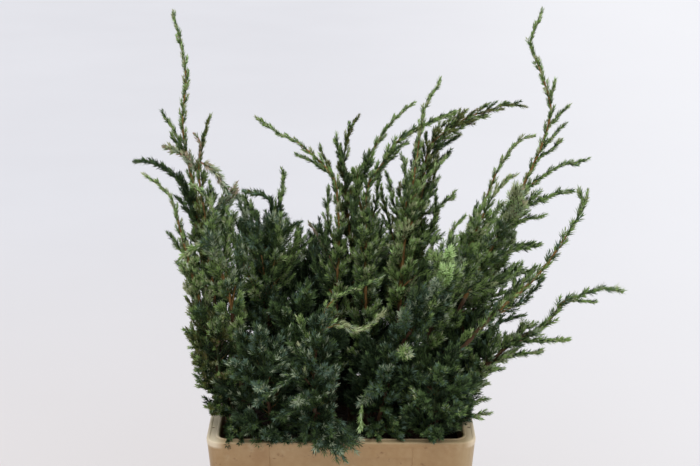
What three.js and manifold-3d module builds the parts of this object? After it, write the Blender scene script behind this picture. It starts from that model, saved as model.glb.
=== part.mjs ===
// A meyeri juniper in a rectangular plastic pot: upright and arching whips of awl-shaped
// needles over a dense foot of bushy growth. Millimetres, +Z up, the front faces -Y.
// The origin is the middle of the pot's flat underside.
import * as THREE from "three";
import { mergeVertices } from "three/addons/utils/BufferGeometryUtils.js";
import Module from "manifold-3d";

const wasm = await Module();
wasm.setup();

// Driving dimensions of the pot.
const POT_WIDTH = 390;
const POT_DEPTH = 285;
const POT_HEIGHT = 260;
const FOOT_WIDTH = 322;
const FOOT_DEPTH = 217;
const RIM_WIDTH = 18; // from the outside of the skirt to the inside of the tub
const SKIRT_HEIGHT = 72;
const SKIRT_DRAFT = 6;
const WALL = 3;
const CORNER = 24;
const TUB_CORNER = 18;
const PANEL = { width: 206, height: 40, below: 24, deep: 1.4 };
const RIM_HOLE = { radius: 3, x: 186, y: 80 };
const FLOOR = 4;
const GAP = 0.35; // clearance between neighbouring solids
const SWELL = 3 * GAP; // a core is cut back this far from a stem that runs through it
const FINEST = 0.12; // edges shorter than this are closed up
const NUDGES = [[0, 0, 0], [0.04, 0, 0], [0, 0.04, 0], [0, 0, 0.04]];
const TOUCH = 0.003; // corners closer than this would melt into one
const MERGE = 1e-4;

// Driving dimensions of the soil and the wood.
const SOIL_TOP = 225;
const SUNK = 12; // how far below the soil's top the stems' lines begin, before the flat cut
const FLAT_CUT = SOIL_TOP + 1.1 * GAP; // height of the stems' flat feet
const STEM_RADIUS = 5.5;
const ENTRY_RADIUS = 2.4;
const TWIG_RADIUS = 1.9;
const TWIG_TIP_RADIUS = 0.6;
const STEM_SIDES = 5;
const TWIG_SIDES = 3;
const PLUME_SIDES = 4;
const NO_PLUME = [0, 600];
const PLUME_LIFT = 1.5; // a dense core starts this far up its twig
const LIMB_STEP = 45; // length of a limb's straight steps
const BARE_TIP = 8; // a limb's wood ends this far inside its tip shoot
const SAG = 0.08; // of a side whip's length

// Driving dimensions of the foliage.
const GOLDEN_ANGLE = Math.PI * (3 - Math.sqrt(5));
const SHOOT_SPACING = 30; // along a whip's open part
const PLUME_SPACING = 64; // along its dense part
const TIP_SHOOT = 36; // length of the shoots at a whip's tip
const SHOOT_WIDTH = 10;
const SHOOT_SIDES = 3;
const SHOOT_WIDEST = 0.36; // share of a shoot's length
const NEEDLE_TIP = { up: 0.7, out: 1.1 }; // shares of a shoot's length and half width
const SHOOT_SPREAD = 8; // how much such lengths differ
const LEAN = { tip: 0.45, foot: 0.85, spread: 0.15 }; // angle of side growth to its limb
const THICKEN = { tip: 0.85, foot: 1.5, bush: 1.6 };
const OPEN_FOOT = 16; // no side growth this close to a limb's foot
const OPEN_TIP = 19;
const FORKS_FROM = 52; // side growth longer than this forks into two shoots
const FORK = { twig: 0.36, side: 0.2, end: 0.3, angle: 0.7 }; // shares of the growth's length

// Each whip rises from its foot in the soil through its bends to its tip. Its stem ends at
// the height entry, where its foliage starts. reach is the length of the lowest side growth.
// plume is the radius of the dense core of its lower part and the height at which that ends.
// A lateral is a long side whip that leaves at a height and ends at its own tip.
const WHIPS = {
  left_leader: {
    foot: [-148, -12],
    bends: [[-181, -18, 312], [-204, 0, 475], [-213, 10, 570], [-229, 20, 690], [-223, 25, 760]],
    tip: [-243, 30, 855],
    entry: 425,
    reach: 44,
    plume: [13, 640],
    laterals: [{ from: 655, tip: [-260, 15, 706] }, { from: 570, tip: [-302, 0, 645] }],
  },
  left_second: {
    foot: [-148, -28],
    bends: [[-177, -22, 360], [-198, -20, 565]],
    tip: [-189, -20, 710],
    entry: 430,
    reach: 40,
  },
  left_outer: {
    foot: [-158, -52],
    bends: [[-186, -44, 350], [-220, -42, 500], [-240, -42, 575]],
    tip: [-280, -42, 630],
    entry: 405,
    reach: 36,
    plume: [11, 560],
  },
  front_left: {
    foot: [-132, -72],
    bends: [[-148, -77, 350], [-176, -76, 515], [-188, -74, 590]],
    tip: [-215, -70, 626],
    entry: 380,
    reach: 44,
    plume: [15, 580],
    laterals: [{ from: 520, tip: [-234, -84, 515] }],
  },
  left_mid: {
    foot: [-104, -4],
    bends: [[-112, 0, 400], [-108, 4, 530]],
    tip: [-85, 10, 626],
    entry: 350,
    reach: 48,
    plume: [20, 590],
    laterals: [{ from: 560, tip: [-143, 0, 600] }],
  },
  centre_left: {
    foot: [-14, -2],
    bends: [[-8, 0, 400], [-8, 8, 575], [-28, 10, 633], [-63, 10, 665]],
    tip: [-123, 10, 703],
    entry: 350,
    reach: 42,
    plume: [13, 625],
    laterals: [{ from: 632, tip: [-68, 4, 648] }],
  },
  centre: {
    foot: [14, 26],
    bends: [[18, 42, 430], [10, 44, 610]],
    tip: [23, 40, 700],
    entry: 370,
    reach: 44,
    plume: [11, 655],
    laterals: [{ from: 600, tip: [-32, 34, 656] }, { from: 620, tip: [-8, 50, 680] }],
  },
  centre_right: {
    foot: [48, 64],
    bends: [[50, 78, 440], [40, 78, 600], [62, 70, 666]],
    tip: [107, 62, 720],
    entry: 380,
    reach: 44,
    plume: [15, 650],
  },
  arch: {
    foot: [64, 10],
    bends: [[98, 16, 460], [122, 22, 608], [140, 22, 677], [179, 20, 706]],
    tip: [267, 20, 720],
    entry: 375,
    reach: 46,
    plume: [18, 655],
    laterals: [{ from: 655, tip: [172, 30, 672] }, { from: 680, tip: [200, 8, 690] }],
  },
  arch_left: {
    foot: [36, -22],
    bends: [[46, -24, 520], [66, -18, 655], [105, -14, 692]],
    tip: [167, -14, 716],
    entry: 345,
    reach: 46,
    plume: [18, 640],
  },
  upright: {
    foot: [74, -22],
    bends: [[90, -26, 500], [116, -16, 660]],
    tip: [144, -2, 762],
    entry: 390,
    reach: 38,
    plume: [11, 650],
  },
  right_leader: {
    foot: [112, 4],
    bends: [[170, 12, 395], [243, 26, 545], [294, 40, 656], [305, 40, 725], [274, 40, 806]],
    tip: [292, 40, 854],
    entry: 420,
    reach: 44,
    plume: [14, 650],
    laterals: [
      { from: 665, tip: [334, 40, 712] },
      { from: 600, tip: [360, 36, 640] },
      { from: 560, tip: [338, 24, 592] },
    ],
  },
  right_back: {
    foot: [96, 42],
    bends: [[134, 50, 355], [190, 70, 500], [224, 80, 590]],
    tip: [290, 84, 662],
    entry: 350,
    reach: 46,
    plume: [18, 615],
  },
  right_inner: {
    foot: [92, -34],
    bends: [[124, -34, 375], [190, -38, 540]],
    tip: [248, -36, 628],
    entry: 350,
    reach: 46,
    plume: [17, 590],
  },
  right_diagonal: {
    foot: [62, -84],
    bends: [[133, -84, 325], [245, -74, 444], [326, -64, 552], [347, -62, 590]],
    tip: [341, -60, 614],
    entry: 440,
    reach: 38,
    plume: [9, 560],
  },
  right_low: {
    foot: [116, -56],
    bends: [[158, -52, 286], [255, -38, 377], [323, -30, 433]],
    tip: [414, -30, 454],
    entry: 340,
    reach: 42,
    plume: [11, 425],
    laterals: [{ from: 400, tip: [340, -46, 384] }],
  },
  right_high: {
    foot: [130, 26],
    bends: [[172, 36, 345], [234, 46, 436]],
    tip: [296, 44, 516],
    entry: 365,
    reach: 42,
    plume: [11, 480],
  },
  front_spray: {
    foot: [-30, -100],
    bends: [[-40, -136, 318], [-36, -148, 400], [-14, -152, 468]],
    tip: [60, -150, 511],
    entry: 290,
    reach: 56,
    plume: [21, 455],
    laterals: [
      { from: 428, tip: [63, -160, 464] },
      { from: 330, tip: [6, -184, 240] },
      { from: 350, tip: [-96, -176, 336] },
    ],
  },
  front_right: {
    foot: [40, -88],
    bends: [[84, -98, 385], [116, -96, 465]],
    tip: [158, -90, 550],
    entry: 345,
    reach: 48,
    plume: [20, 510],
  },
  back_left: {
    foot: [-108, 62],
    bends: [[-134, 84, 400], [-146, 106, 490]],
    tip: [-150, 142, 590],
    entry: 370,
    reach: 50,
    plume: [21, 545],
  },
  back_mid: {
    foot: [-40, 66],
    bends: [[-46, 92, 420], [-42, 116, 520]],
    tip: [-30, 156, 622],
    entry: 370,
    reach: 50,
    plume: [21, 575],
  },
  back_right: {
    foot: [72, 72],
    bends: [[96, 106, 420], [106, 130, 530]],
    tip: [116, 172, 640],
    entry: 380,
    reach: 50,
    plume: [21, 590],
  },
  back_far_right: {
    foot: [134, 62],
    bends: [[180, 98, 380], [206, 122, 450]],
    tip: [240, 158, 530],
    entry: 365,
    reach: 48,
    plume: [18, 490],
  },
};

// Each bush is a dense low mass: its middle, and how far its core reaches from there.
const BUSHES = {
  bush_left: { middle: [-178, -62, 344], core: [29, 30, 62] },
  bush_left_back: { middle: [-170, 46, 350], core: [30, 35, 68] },
  bush_front_left: { middle: [-108, -114, 338], core: [32, 30, 60] },
  bush_centre: { middle: [-62, -50, 360], core: [32, 29, 83] },
  bush_front_right: { middle: [136, -110, 316], core: [29, 27, 41] },
  bush_right: { middle: [186, -6, 322], core: [27, 35, 45] },
  bush_right_back: { middle: [186, 86, 322], core: [29, 30, 47] },
  bush_back_right: { middle: [104, 112, 342], core: [35, 34, 68] },
  bush_back: { middle: [4, 112, 348], core: [35, 34, 75] },
  bush_back_left: { middle: [-92, 112, 342], core: [35, 34, 70] },
  bush_middle: { middle: [-58, 34, 350], core: [29, 24, 70] },
  bush_middle_right: { middle: [64, -62, 322], core: [22, 18, 38] },
};
const BUSH_SHOOTS = 10;
const BUSH_SHOOT = 44;
const BUSH_SPAN = { top: 0.95, foot: -0.6 }; // heights on a ball of radius 1 that they leave from
const BUSH_RISE = 0.5;
const BUSH_FOOT = [0.86, 0.8]; // share of its middle's x and y at which a bush stands
const ROOT_DEPTH = 0.6; // of a core's radius
const SHRINK = 0.85; // a core that touches a neighbour shrinks by this, again and again
const SMALLEST = 0.3; // share of its size at which it is left out
const TUFT = 25; // how far tufts stand out of a core's faces
const TUFT_RISE = 1.3;
const CAP_SLOPE = 0.85; // faces that look further up or down than this have no tuft
const SMALLEST_TUFTED = 60; // square millimetres
const BUSH_STEM_RADIUS = 4;
const CORE_LUMPS = 0.16;

const material = (color, roughness) =>
  new THREE.MeshStandardMaterial({ color, roughness, metalness: 0 });
const POT_PLASTIC = material(0xc9b28c, 0.55);
const SOIL = material(0x3a2618, 0.95);
const BARK = material(0x7a4a2b, 0.85);
const NEEDLES = material(0x3f6652, 0.7);

const plant = new THREE.Group();
const placed = []; // every finished piece, as {node, solid, box}

// A repeatable number from 0 to 1 for two whole numbers.
function chance(a, b) {
  const s = Math.sin(a * 12.9898 + b * 78.233) * 43758.5453;
  return s - Math.floor(s);
}

const vector = (p) => new THREE.Vector3(...p);
const ACROSS = vector([1, 0, 0]);
const DEEP = vector([0, 1, 0]);

// A copy of a geometry with nothing but its points.
function bareOf(geometry) {
  const bare = geometry.index ? geometry.toNonIndexed() : geometry.clone();
  for (const name of Object.keys(bare.attributes)) {
    if (name !== "position") bare.deleteAttribute(name);
  }
  return bare;
}

// The corners of each face of a merged geometry, without the faces that have shrunk to a line.
function cornersOf(merged) {
  const corners = [];
  for (let i = 0; i < merged.index.count; i += 3) {
    const [a, b, c] = [0, 1, 2].map((k) => merged.index.getX(i + k));
    if (a !== b && b !== c && c !== a) corners.push([a, b, c]);
  }
  return corners;
}

// Turns a closed geometry into a solid for cutting and joining.
function solidOf(geometry) {
  const merged = mergeVertices(bareOf(geometry), MERGE);
  return new wasm.Manifold(
    new wasm.Mesh({
      numProp: 3,
      vertProperties: merged.attributes.position.array,
      triVerts: new Uint32Array(cornersOf(merged).flat()),
    }),
  );
}

function geometryOf(solid) {
  const mesh = solid.getMesh();
  return new THREE.BufferGeometry()
    .setAttribute("position", new THREE.BufferAttribute(mesh.vertProperties, 3))
    .setIndex(new THREE.BufferAttribute(mesh.triVerts, 1));
}

// True if no two corners of a solid lie so close that they would melt into one.
function isSound(solid) {
  const { vertProperties: at } = solid.getMesh();
  const corners = [];
  for (let i = 0; i < at.length; i += 3) corners.push([at[i], at[i + 1], at[i + 2]]);
  corners.sort((a, b) => a[0] - b[0]);
  return corners.every((corner, i) => {
    for (let k = i + 1; k < corners.length && corners[k][0] - corner[0] < TOUCH; k++) {
      if (corners[k].every((value, axis) => Math.abs(value - corner[axis]) < TOUCH)) return false;
    }
    return true;
  });
}

// The parts joined into one solid. One that would leave it unsound is nudged or left out.
function joined(parts) {
  const kept = [];
  let whole = null;
  for (const part of parts) {
    for (const nudge of NUDGES) {
      const moved = part.translate(nudge);
      const next = largest(wasm.Manifold.union([...kept, moved])).simplify(FINEST);
      if (!isSound(next)) continue;
      kept.push(moved);
      whole = next;
      break;
    }
  }
  return whole;
}

function largest(solid) {
  return solid.decompose().sort((a, b) => b.volume() - a.volume())[0];
}

function addNode(name, solid, finish) {
  const mesh = new THREE.Mesh(geometryOf(solid), finish);
  mesh.name = name;
  plant.add(mesh);
  return solid;
}

function boxOf(solid) {
  const { min, max } = solid.boundingBox();
  return new THREE.Box3(vector(min), vector(max)).expandByScalar(GAP);
}

// True if a piece of this node keeps clear of all the other nodes' pieces.
function isClear(node, solid) {
  const box = boxOf(solid);
  return placed.every(
    (other) =>
      other.node === node ||
      !box.intersectsBox(other.box) ||
      solid.minGap(other.solid, 2 * GAP) >= GAP,
  );
}

function place(node, solid) {
  placed.push({ node, solid, box: boxOf(solid) });
}

// Pot

// A block with round corners whose plan grows evenly from its foot to its top.
function taperedBlock(foot, top, low, high, radius) {
  const [w, d] = top.map((s) => s / 2);
  const r = radius;
  const plan = new THREE.Shape();
  plan.moveTo(r - w, -d);
  plan.lineTo(w - r, -d);
  plan.absarc(w - r, r - d, r, -Math.PI / 2, 0, false);
  plan.lineTo(w, d - r);
  plan.absarc(w - r, d - r, r, 0, Math.PI / 2, false);
  plan.lineTo(r - w, d);
  plan.absarc(r - w, d - r, r, Math.PI / 2, Math.PI, false);
  plan.lineTo(-w, r - d);
  plan.absarc(r - w, r - d, r, Math.PI, Math.PI * 1.5, false);
  const block = new THREE.ExtrudeGeometry(plan, {
    depth: high - low,
    bevelEnabled: false,
    curveSegments: 2,
  });
  const at = block.attributes.position;
  for (let i = 0; i < at.count; i++) {
    const up = at.getZ(i) / (high - low);
    at.setX(i, at.getX(i) * (foot[0] / top[0] + (1 - foot[0] / top[0]) * up));
    at.setY(i, at.getY(i) * (foot[1] / top[1] + (1 - foot[1] / top[1]) * up));
  }
  block.translate(0, 0, low);
  return solidOf(block);
}

// The tub's plan at a height, offset outwards.
function tubPlan(height, outwards) {
  const up = height / POT_HEIGHT;
  const inside = 2 * (RIM_WIDTH - WALL);
  return [
    FOOT_WIDTH + (POT_WIDTH - inside - FOOT_WIDTH) * up + 2 * outwards,
    FOOT_DEPTH + (POT_DEPTH - inside - FOOT_DEPTH) * up + 2 * outwards,
  ];
}

function tubBlock(low, high, outwards) {
  const corner = TUB_CORNER + outwards;
  return taperedBlock(tubPlan(low, outwards), tubPlan(high, outwards), low, high, corner);
}

function boxAt(size, middle) {
  return solidOf(new THREE.BoxGeometry(...size).translate(...middle));
}

function rimHoles() {
  const cuts = [];
  for (const x of [-RIM_HOLE.x, RIM_HOLE.x]) {
    for (const y of [-RIM_HOLE.y, RIM_HOLE.y]) {
      const hole = new THREE.CylinderGeometry(RIM_HOLE.radius, RIM_HOLE.radius, 4 * WALL, 8);
      hole.rotateX(Math.PI / 2);
      hole.translate(x, y, POT_HEIGHT);
      cuts.push(solidOf(hole));
    }
  }
  return cuts;
}

// The shallow bare panels in the skirt's two long sides.
function panels() {
  const face = POT_DEPTH / 2 - (SKIRT_DRAFT * PANEL.below) / SKIRT_HEIGHT;
  const thick = 20;
  const z = POT_HEIGHT - PANEL.below - PANEL.height / 2;
  return [-1, 1].map((side) => {
    const slab = new THREE.BoxGeometry(PANEL.width, thick, PANEL.height);
    return solidOf(slab.translate(0, side * (face + thick / 2 - PANEL.deep), z));
  });
}

function makePot() {
  const skirtFoot = POT_HEIGHT - SKIRT_HEIGHT;
  const outerTop = [POT_WIDTH, POT_DEPTH];
  const outerFoot = outerTop.map((s) => s - 2 * SKIRT_DRAFT);
  const skirt = taperedBlock(outerFoot, outerTop, skirtFoot, POT_HEIGHT, CORNER);
  const inner = (s) => s - 2 * WALL;
  const hollow = taperedBlock(
    outerFoot.map(inner),
    outerTop.map(inner),
    skirtFoot - 1,
    POT_HEIGHT - WALL,
    CORNER - WALL,
  );
  const tub = tubBlock(0, POT_HEIGHT - WALL / 2, 0);
  const cavity = tubBlock(FLOOR, POT_HEIGHT + 1, -WALL);
  const cuts = wasm.Manifold.union([cavity, ...rimHoles(), ...panels()]);
  return skirt.subtract(hollow).add(tub).subtract(cuts);
}

function makeSoil() {
  return tubBlock(FLOOR + GAP, SOIL_TOP, -WALL - GAP);
}

// Wood

// The middle line of a limb: a curve from share a to share b of its length, in straight steps.
function lineAlong(curve, a, b, steps) {
  const points = [];
  for (let i = 0; i <= steps; i++) points.push(curve.getPointAt(a + ((b - a) * i) / steps));
  return { curve, a, b, steps, points };
}

// The point of a line at a share of its curve's length.
function pointOn(line, share) {
  const step = ((share - line.a) / (line.b - line.a)) * line.steps;
  const i = Math.min(Math.floor(step), line.steps - 1);
  return line.points[i].clone().lerp(line.points[i + 1], step - i);
}

// Two directions square to each other and to a tangent.
function sidesOf(tangent) {
  const across = Math.abs(tangent.y) > 0.8 ? ACROSS : DEEP;
  const first = across.clone().addScaledVector(tangent, -across.dot(tangent)).normalize();
  return [first, new THREE.Vector3().crossVectors(first, tangent)];
}

// A limb along a line. Its radius depends on the share of the line.
function limbShape(line, radiusAt, sides) {
  const { curve, a, b, steps } = line;
  const geometry = new THREE.CylinderGeometry(1, 1, 1, sides, steps);
  const at = geometry.attributes.position;
  for (let i = 0; i < at.count; i++) {
    const along = at.getY(i) + 0.5;
    const radius = radiusAt(along);
    const [first, second] = sidesOf(curve.getTangentAt(a + (b - a) * along));
    const point = line.points[Math.round(along * steps)]
      .clone()
      .addScaledVector(first, radius * at.getX(i))
      .addScaledVector(second, radius * at.getZ(i));
    at.setXYZ(i, ...point);
  }
  return geometry;
}

const limb = (line, radiusAt, sides) => solidOf(limbShape(line, radiusAt, sides));
const taper = (from, to) => (along) => from + (to - from) * along;

function curveOf(points) {
  return new THREE.CatmullRomCurve3(points, false, "catmullrom", 0.5);
}

// The share of a rising curve's length at which it first passes a height.
function shareAtHeight(curve, height) {
  const steps = 400;
  for (let i = 0; i <= steps; i++) {
    if (curve.getPointAt(i / steps).z >= height) return i / steps;
  }
  return 1;
}

// Foliage

// A geometry with a needle drawn out of each face for which needleAt gives a tip.
function withNeedles(geometry, needleAt) {
  const merged = mergeVertices(bareOf(geometry), MERGE);
  const points = [];
  cornersOf(merged).forEach((face, i) => {
    const [a, b, c] = face.map((k) =>
      new THREE.Vector3().fromBufferAttribute(merged.attributes.position, k),
    );
    const tip = needleAt(new THREE.Triangle(a, b, c), i);
    if (tip) points.push(a, b, tip, b, c, tip, c, a, tip);
    else points.push(a, b, c);
  });
  return new THREE.BufferGeometry().setFromPoints(points);
}

// One shoot of needles, 1 long, up +Y: a slim core with a needle drawn out of each upper face.
function shootShape() {
  const half = SHOOT_WIDTH / 2 / TIP_SHOOT;
  const outline = [[0, 0], [half, SHOOT_WIDEST], [0, 1]].map((p) => new THREE.Vector2(...p));
  return withNeedles(new THREE.LatheGeometry(outline, SHOOT_SIDES), (face) => {
    const middle = face.getMidpoint(new THREE.Vector3());
    if (middle.y < SHOOT_WIDEST) return null;
    return middle.setY(0).setLength(NEEDLE_TIP.out * half).setY(NEEDLE_TIP.up);
  });
}
const SHOOT = shootShape();

// A shoot from a root along a direction, as a solid.
function shoot(root, direction, length, thicken, roll) {
  const turn = new THREE.Quaternion().setFromUnitVectors(
    new THREE.Vector3(0, 1, 0),
    direction.clone().normalize(),
  );
  const spin = new THREE.Quaternion().setFromAxisAngle(new THREE.Vector3(0, 1, 0), roll);
  const across = TIP_SHOOT * thicken;
  const matrix = new THREE.Matrix4().compose(
    root,
    turn.multiply(spin),
    new THREE.Vector3(across, length, across),
  );
  return solidOf(SHOOT.clone().applyMatrix4(matrix));
}

// The direction of side growth: it leaves the limb at an angle, turned round it by azimuth.
function sideways(tangent, azimuth, angle) {
  const [first, second] = sidesOf(tangent);
  return tangent
    .clone()
    .multiplyScalar(Math.cos(angle))
    .addScaledVector(first, Math.sin(angle) * Math.cos(azimuth))
    .addScaledVector(second, Math.sin(angle) * Math.sin(azimuth));
}

// The side growth of a limb between two shares of it, from the tip down: one item each
// spacing, turned by the golden angle, longer and wider set towards the foot.
function sideGrowth(line, a, b, spacing, reach, plumeAt, seed) {
  const span = line.curve.getLength() * (b - a);
  const count = Math.round(span / spacing);
  const items = [];
  for (let i = 0; i < count; i++) {
    const down = (i + 0.5) / count;
    const share = b - (b - a) * down;
    const azimuth = i * GOLDEN_ANGLE + seed;
    const angle = LEAN.tip + (LEAN.foot - LEAN.tip) * down + LEAN.spread * chance(seed, i);
    const direction = sideways(line.curve.getTangentAt(share), azimuth, angle);
    const out = (ROOT_DEPTH * plumeAt(share)) / Math.sin(angle);
    const grown = TIP_SHOOT + (reach - TIP_SHOOT) * down ** 0.7;
    items.push({
      root: pointOn(line, share).addScaledVector(direction, out),
      direction,
      length: grown + SHOOT_SPREAD * (chance(seed, i + 50) - 0.5),
      thicken: THICKEN.tip + (THICKEN.foot - THICKEN.tip) * down,
      roll: 6 * chance(seed, i + 90),
    });
  }
  return items;
}

// One item of side growth: a single shoot, or a twig that forks into two.
function growthSolid(item) {
  const { root, direction, length, thicken, roll } = item;
  if (length < FORKS_FROM) return shoot(root, direction, length, thicken, roll);
  const along = (share) => root.clone().addScaledVector(direction, length * share);
  const twig = lineAlong(new THREE.LineCurve3(root, along(FORK.twig)), 0, 1, 1);
  const side = sideways(direction, roll, FORK.angle);
  return wasm.Manifold.union([
    limb(twig, () => TWIG_RADIUS, TWIG_SIDES),
    shoot(along(FORK.end), direction, length * (1 - FORK.end), thicken, roll),
    shoot(along(FORK.side), side, length * (1 - FORK.twig), thicken, roll + 1),
  ]);
}

// The wood and the tip shoot of a mass, or of a long side whip in it.
function leader(line, radius, seed) {
  const tipRoot = pointOn(line, 1 - TIP_SHOOT / line.curve.getLength());
  const tipWay = line.curve.getPointAt(1).sub(tipRoot);
  return [
    limb(line, taper(radius, TWIG_TIP_RADIUS), TWIG_SIDES),
    shoot(tipRoot, tipWay, tipWay.length(), 1, seed),
  ];
}

// A core's geometry with tufts drawn up and out of its side faces.
function tufted(geometry, size, seed) {
  return withNeedles(geometry, (face, i) => {
    const out = face.getNormal(new THREE.Vector3());
    if (Math.abs(out.z) > CAP_SLOPE || face.getArea() < SMALLEST_TUFTED) return null;
    const rise = new THREE.Vector3(out.x, out.y, out.z + TUFT_RISE).normalize();
    const length = size * TUFT * (0.7 + 0.6 * chance(seed, i));
    return face.getMidpoint(new THREE.Vector3()).addScaledVector(rise, length);
  });
}

// The largest form of a core that keeps clear of the neighbours.
function fittedCore(name, make) {
  for (let size = 1; size >= SMALLEST; size *= SHRINK) {
    let core = make(size);
    const box = boxOf(core);
    for (const other of placed) {
      if (other.swollen && box.intersectsBox(other.box)) core = core.subtract(other.swollen);
    }
    core = largest(core);
    if (isClear(name, core)) return { core, size };
  }
  return null;
}

function whipMass(name, whip, curve, entry, seed) {
  const long = curve.getLength();
  const start = entry + (1.2 * GAP) / long;
  const steps = Math.max(5, Math.round((long * (1 - entry)) / LIMB_STEP));
  const line = lineAlong(curve, start, 1 - BARE_TIP / long, steps);
  const wood = leader(line, TWIG_RADIUS, seed);
  const items = [];
  (whip.laterals ?? []).forEach((lateral, n) => {
    const from = pointOn(line, shareAtHeight(curve, lateral.from));
    const tip = vector(lateral.tip);
    const middle = from.clone().lerp(tip, 0.5);
    middle.z -= SAG * from.distanceTo(tip);
    const side = curveOf([from, middle, tip]);
    const sideLong = side.getLength();
    const sideLine = lineAlong(side, 0, 1 - BARE_TIP / sideLong, 3);
    wood.push(...leader(sideLine, TWIG_RADIUS * 0.8, n));
    const [a, b] = [OPEN_FOOT / sideLong, 1 - OPEN_TIP / sideLong];
    const sideSeed = seed + 7 * (n + 1);
    items.push(...sideGrowth(sideLine, a, b, SHOOT_SPACING, TIP_SHOOT, () => 0, sideSeed));
  });
  const solid = wasm.Manifold.union(wood);
  place(name, solid);
  return { name, parts: [solid], items, whip, line, start, seed };
}

// The core of a whip's dense lower part, and the growth that stands out of it.
function addPlume(mass) {
  const { name, whip, line, start, seed } = mass;
  const { curve } = line;
  const [radius, top] = whip.plume ?? NO_PLUME;
  const end = shareAtHeight(curve, top);
  const profile = (along) => Math.sin(Math.PI * (0.1 + 0.9 * along) ** 0.75);
  const steps = Math.max(4, Math.round(((end - start) * curve.getLength()) / LIMB_STEP));
  const coreLine = lineAlong(curve, start + PLUME_LIFT / curve.getLength(), end, steps);
  const fitted = radius > 0 && fittedCore(name, (size) => {
    const radiusAt = (along) => TWIG_TIP_RADIUS + size * radius * profile(along);
    return solidOf(tufted(limbShape(coreLine, radiusAt, PLUME_SIDES), size, seed));
  });
  if (fitted) {
    place(name, fitted.core);
    mass.parts.push(fitted.core);
  }
  const size = fitted ? fitted.size : 0;
  const plumeAt = (share) => {
    const along = (share - start) / (end - start);
    return along < 1 ? size * radius * profile(along) : 0;
  };
  const long = curve.getLength();
  const [a, b] = [start + OPEN_FOOT / long, 1 - OPEN_TIP / long];
  mass.items.unshift(
    ...sideGrowth(line, end, b, SHOOT_SPACING, whip.reach, plumeAt, seed),
    ...sideGrowth(line, a, end, PLUME_SPACING, whip.reach, plumeAt, seed + 3),
  );
}

// A dense, lumpy core with a short stem that stands on the soil, and its growth all round.
function bushMass(name, bush, seed) {
  const middle = vector(bush.middle);
  const lump = (size) => {
    const ball = new THREE.OctahedronGeometry(1, 1);
    const at = ball.attributes.position;
    for (let i = 0; i < at.count; i++) {
      const p = new THREE.Vector3().fromBufferAttribute(at, i).normalize();
      const wave = Math.sin(3 * p.x + seed) * Math.cos(3 * p.y - seed) + Math.sin(4 * p.z + seed);
      p.multiplyScalar(size * (1 + CORE_LUMPS * wave)).multiply(vector(bush.core));
      at.setXYZ(i, ...p.add(middle));
    }
    return solidOf(tufted(ball, size, seed));
  };
  const [x, y] = BUSH_FOOT;
  const foot = new THREE.Vector3(middle.x * x, middle.y * y, SOIL_TOP - SUNK);
  const upright = lineAlong(new THREE.LineCurve3(foot, middle), 0, 1, 1);
  const stem = limb(upright, () => BUSH_STEM_RADIUS, STEM_SIDES);
  const { core, size } = fittedCore(name, (size) =>
    lump(size).add(stem).trimByPlane([0, 0, 1], FLAT_CUT),
  );
  place(name, core);
  const items = [];
  for (let i = 0; i < BUSH_SHOOTS; i++) {
    const up = BUSH_SPAN.top + ((BUSH_SPAN.foot - BUSH_SPAN.top) * (i + 0.5)) / BUSH_SHOOTS;
    const azimuth = i * GOLDEN_ANGLE + seed;
    const flat = Math.sqrt(1 - up * up);
    const ray = vector([flat * Math.cos(azimuth), flat * Math.sin(azimuth), up]);
    const surface = ray.clone().multiply(vector(bush.core)).multiplyScalar(size);
    items.push({
      root: surface.multiplyScalar(ROOT_DEPTH).add(middle),
      direction: ray.setZ(up + BUSH_RISE).normalize(),
      length: BUSH_SHOOT + SHOOT_SPREAD * (chance(seed, i) - 0.5),
      thicken: THICKEN.bush,
      roll: 6 * chance(seed, i + 90),
    });
  }
  return { name, parts: [core], items };
}

// Assembly

const pot = addNode("pot", makePot(), POT_PLASTIC);
place("pot", pot);
place("soil", addNode("soil", makeSoil(), SOIL));

const curves = {};
const entries = {};
for (const [name, whip] of Object.entries(WHIPS)) {
  const foot = [...whip.foot, SOIL_TOP - SUNK];
  const curve = curveOf([foot, ...whip.bends, whip.tip].map(vector));
  const entry = shareAtHeight(curve, whip.entry);
  const steps = Math.max(4, Math.round((curve.getLength() * entry) / LIMB_STEP));
  const line = lineAlong(curve, 0, entry, steps);
  const stem = limb(line, taper(STEM_RADIUS, ENTRY_RADIUS), STEM_SIDES);
  const node = `stem_${name}`;
  const solid = addNode(node, stem.trimByPlane([0, 0, 1], FLAT_CUT), BARK);
  const swollenLine = lineAlong(curve, 0, entry + SWELL / curve.getLength(), steps);
  const swollenTaper = taper(STEM_RADIUS + SWELL, ENTRY_RADIUS + SWELL);
  const swollen = limb(swollenLine, swollenTaper, STEM_SIDES);
  placed.push({ node, solid, box: boxOf(solid), swollen });
  curves[name] = curve;
  entries[name] = entry;
}

const masses = Object.entries(WHIPS).map(([name, whip], seed) =>
  whipMass(`foliage_${name}`, whip, curves[name], entries[name], seed + 1),
);
for (const mass of masses) addPlume(mass);
Object.entries(BUSHES).forEach(([name, bush], seed) => {
  masses.push(bushMass(name, bush, seed + 40));
});

// The masses take turns, so that each fills its own space evenly.
const rounds = Math.max(...masses.map((m) => m.items.length));
for (let turn = 0; turn < rounds; turn++) {
  for (const mass of masses) {
    if (turn >= mass.items.length) continue;
    const solid = growthSolid(mass.items[turn]);
    if (!isClear(mass.name, solid)) continue;
    place(mass.name, solid);
    mass.parts.push(solid);
  }
}
for (const mass of masses) {
  addNode(mass.name, joined(mass.parts), NEEDLES);
}

export default plant;
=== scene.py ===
import math

import bmesh
import bpy
import numpy as np
from mathutils import Matrix, Vector, noise


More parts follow.
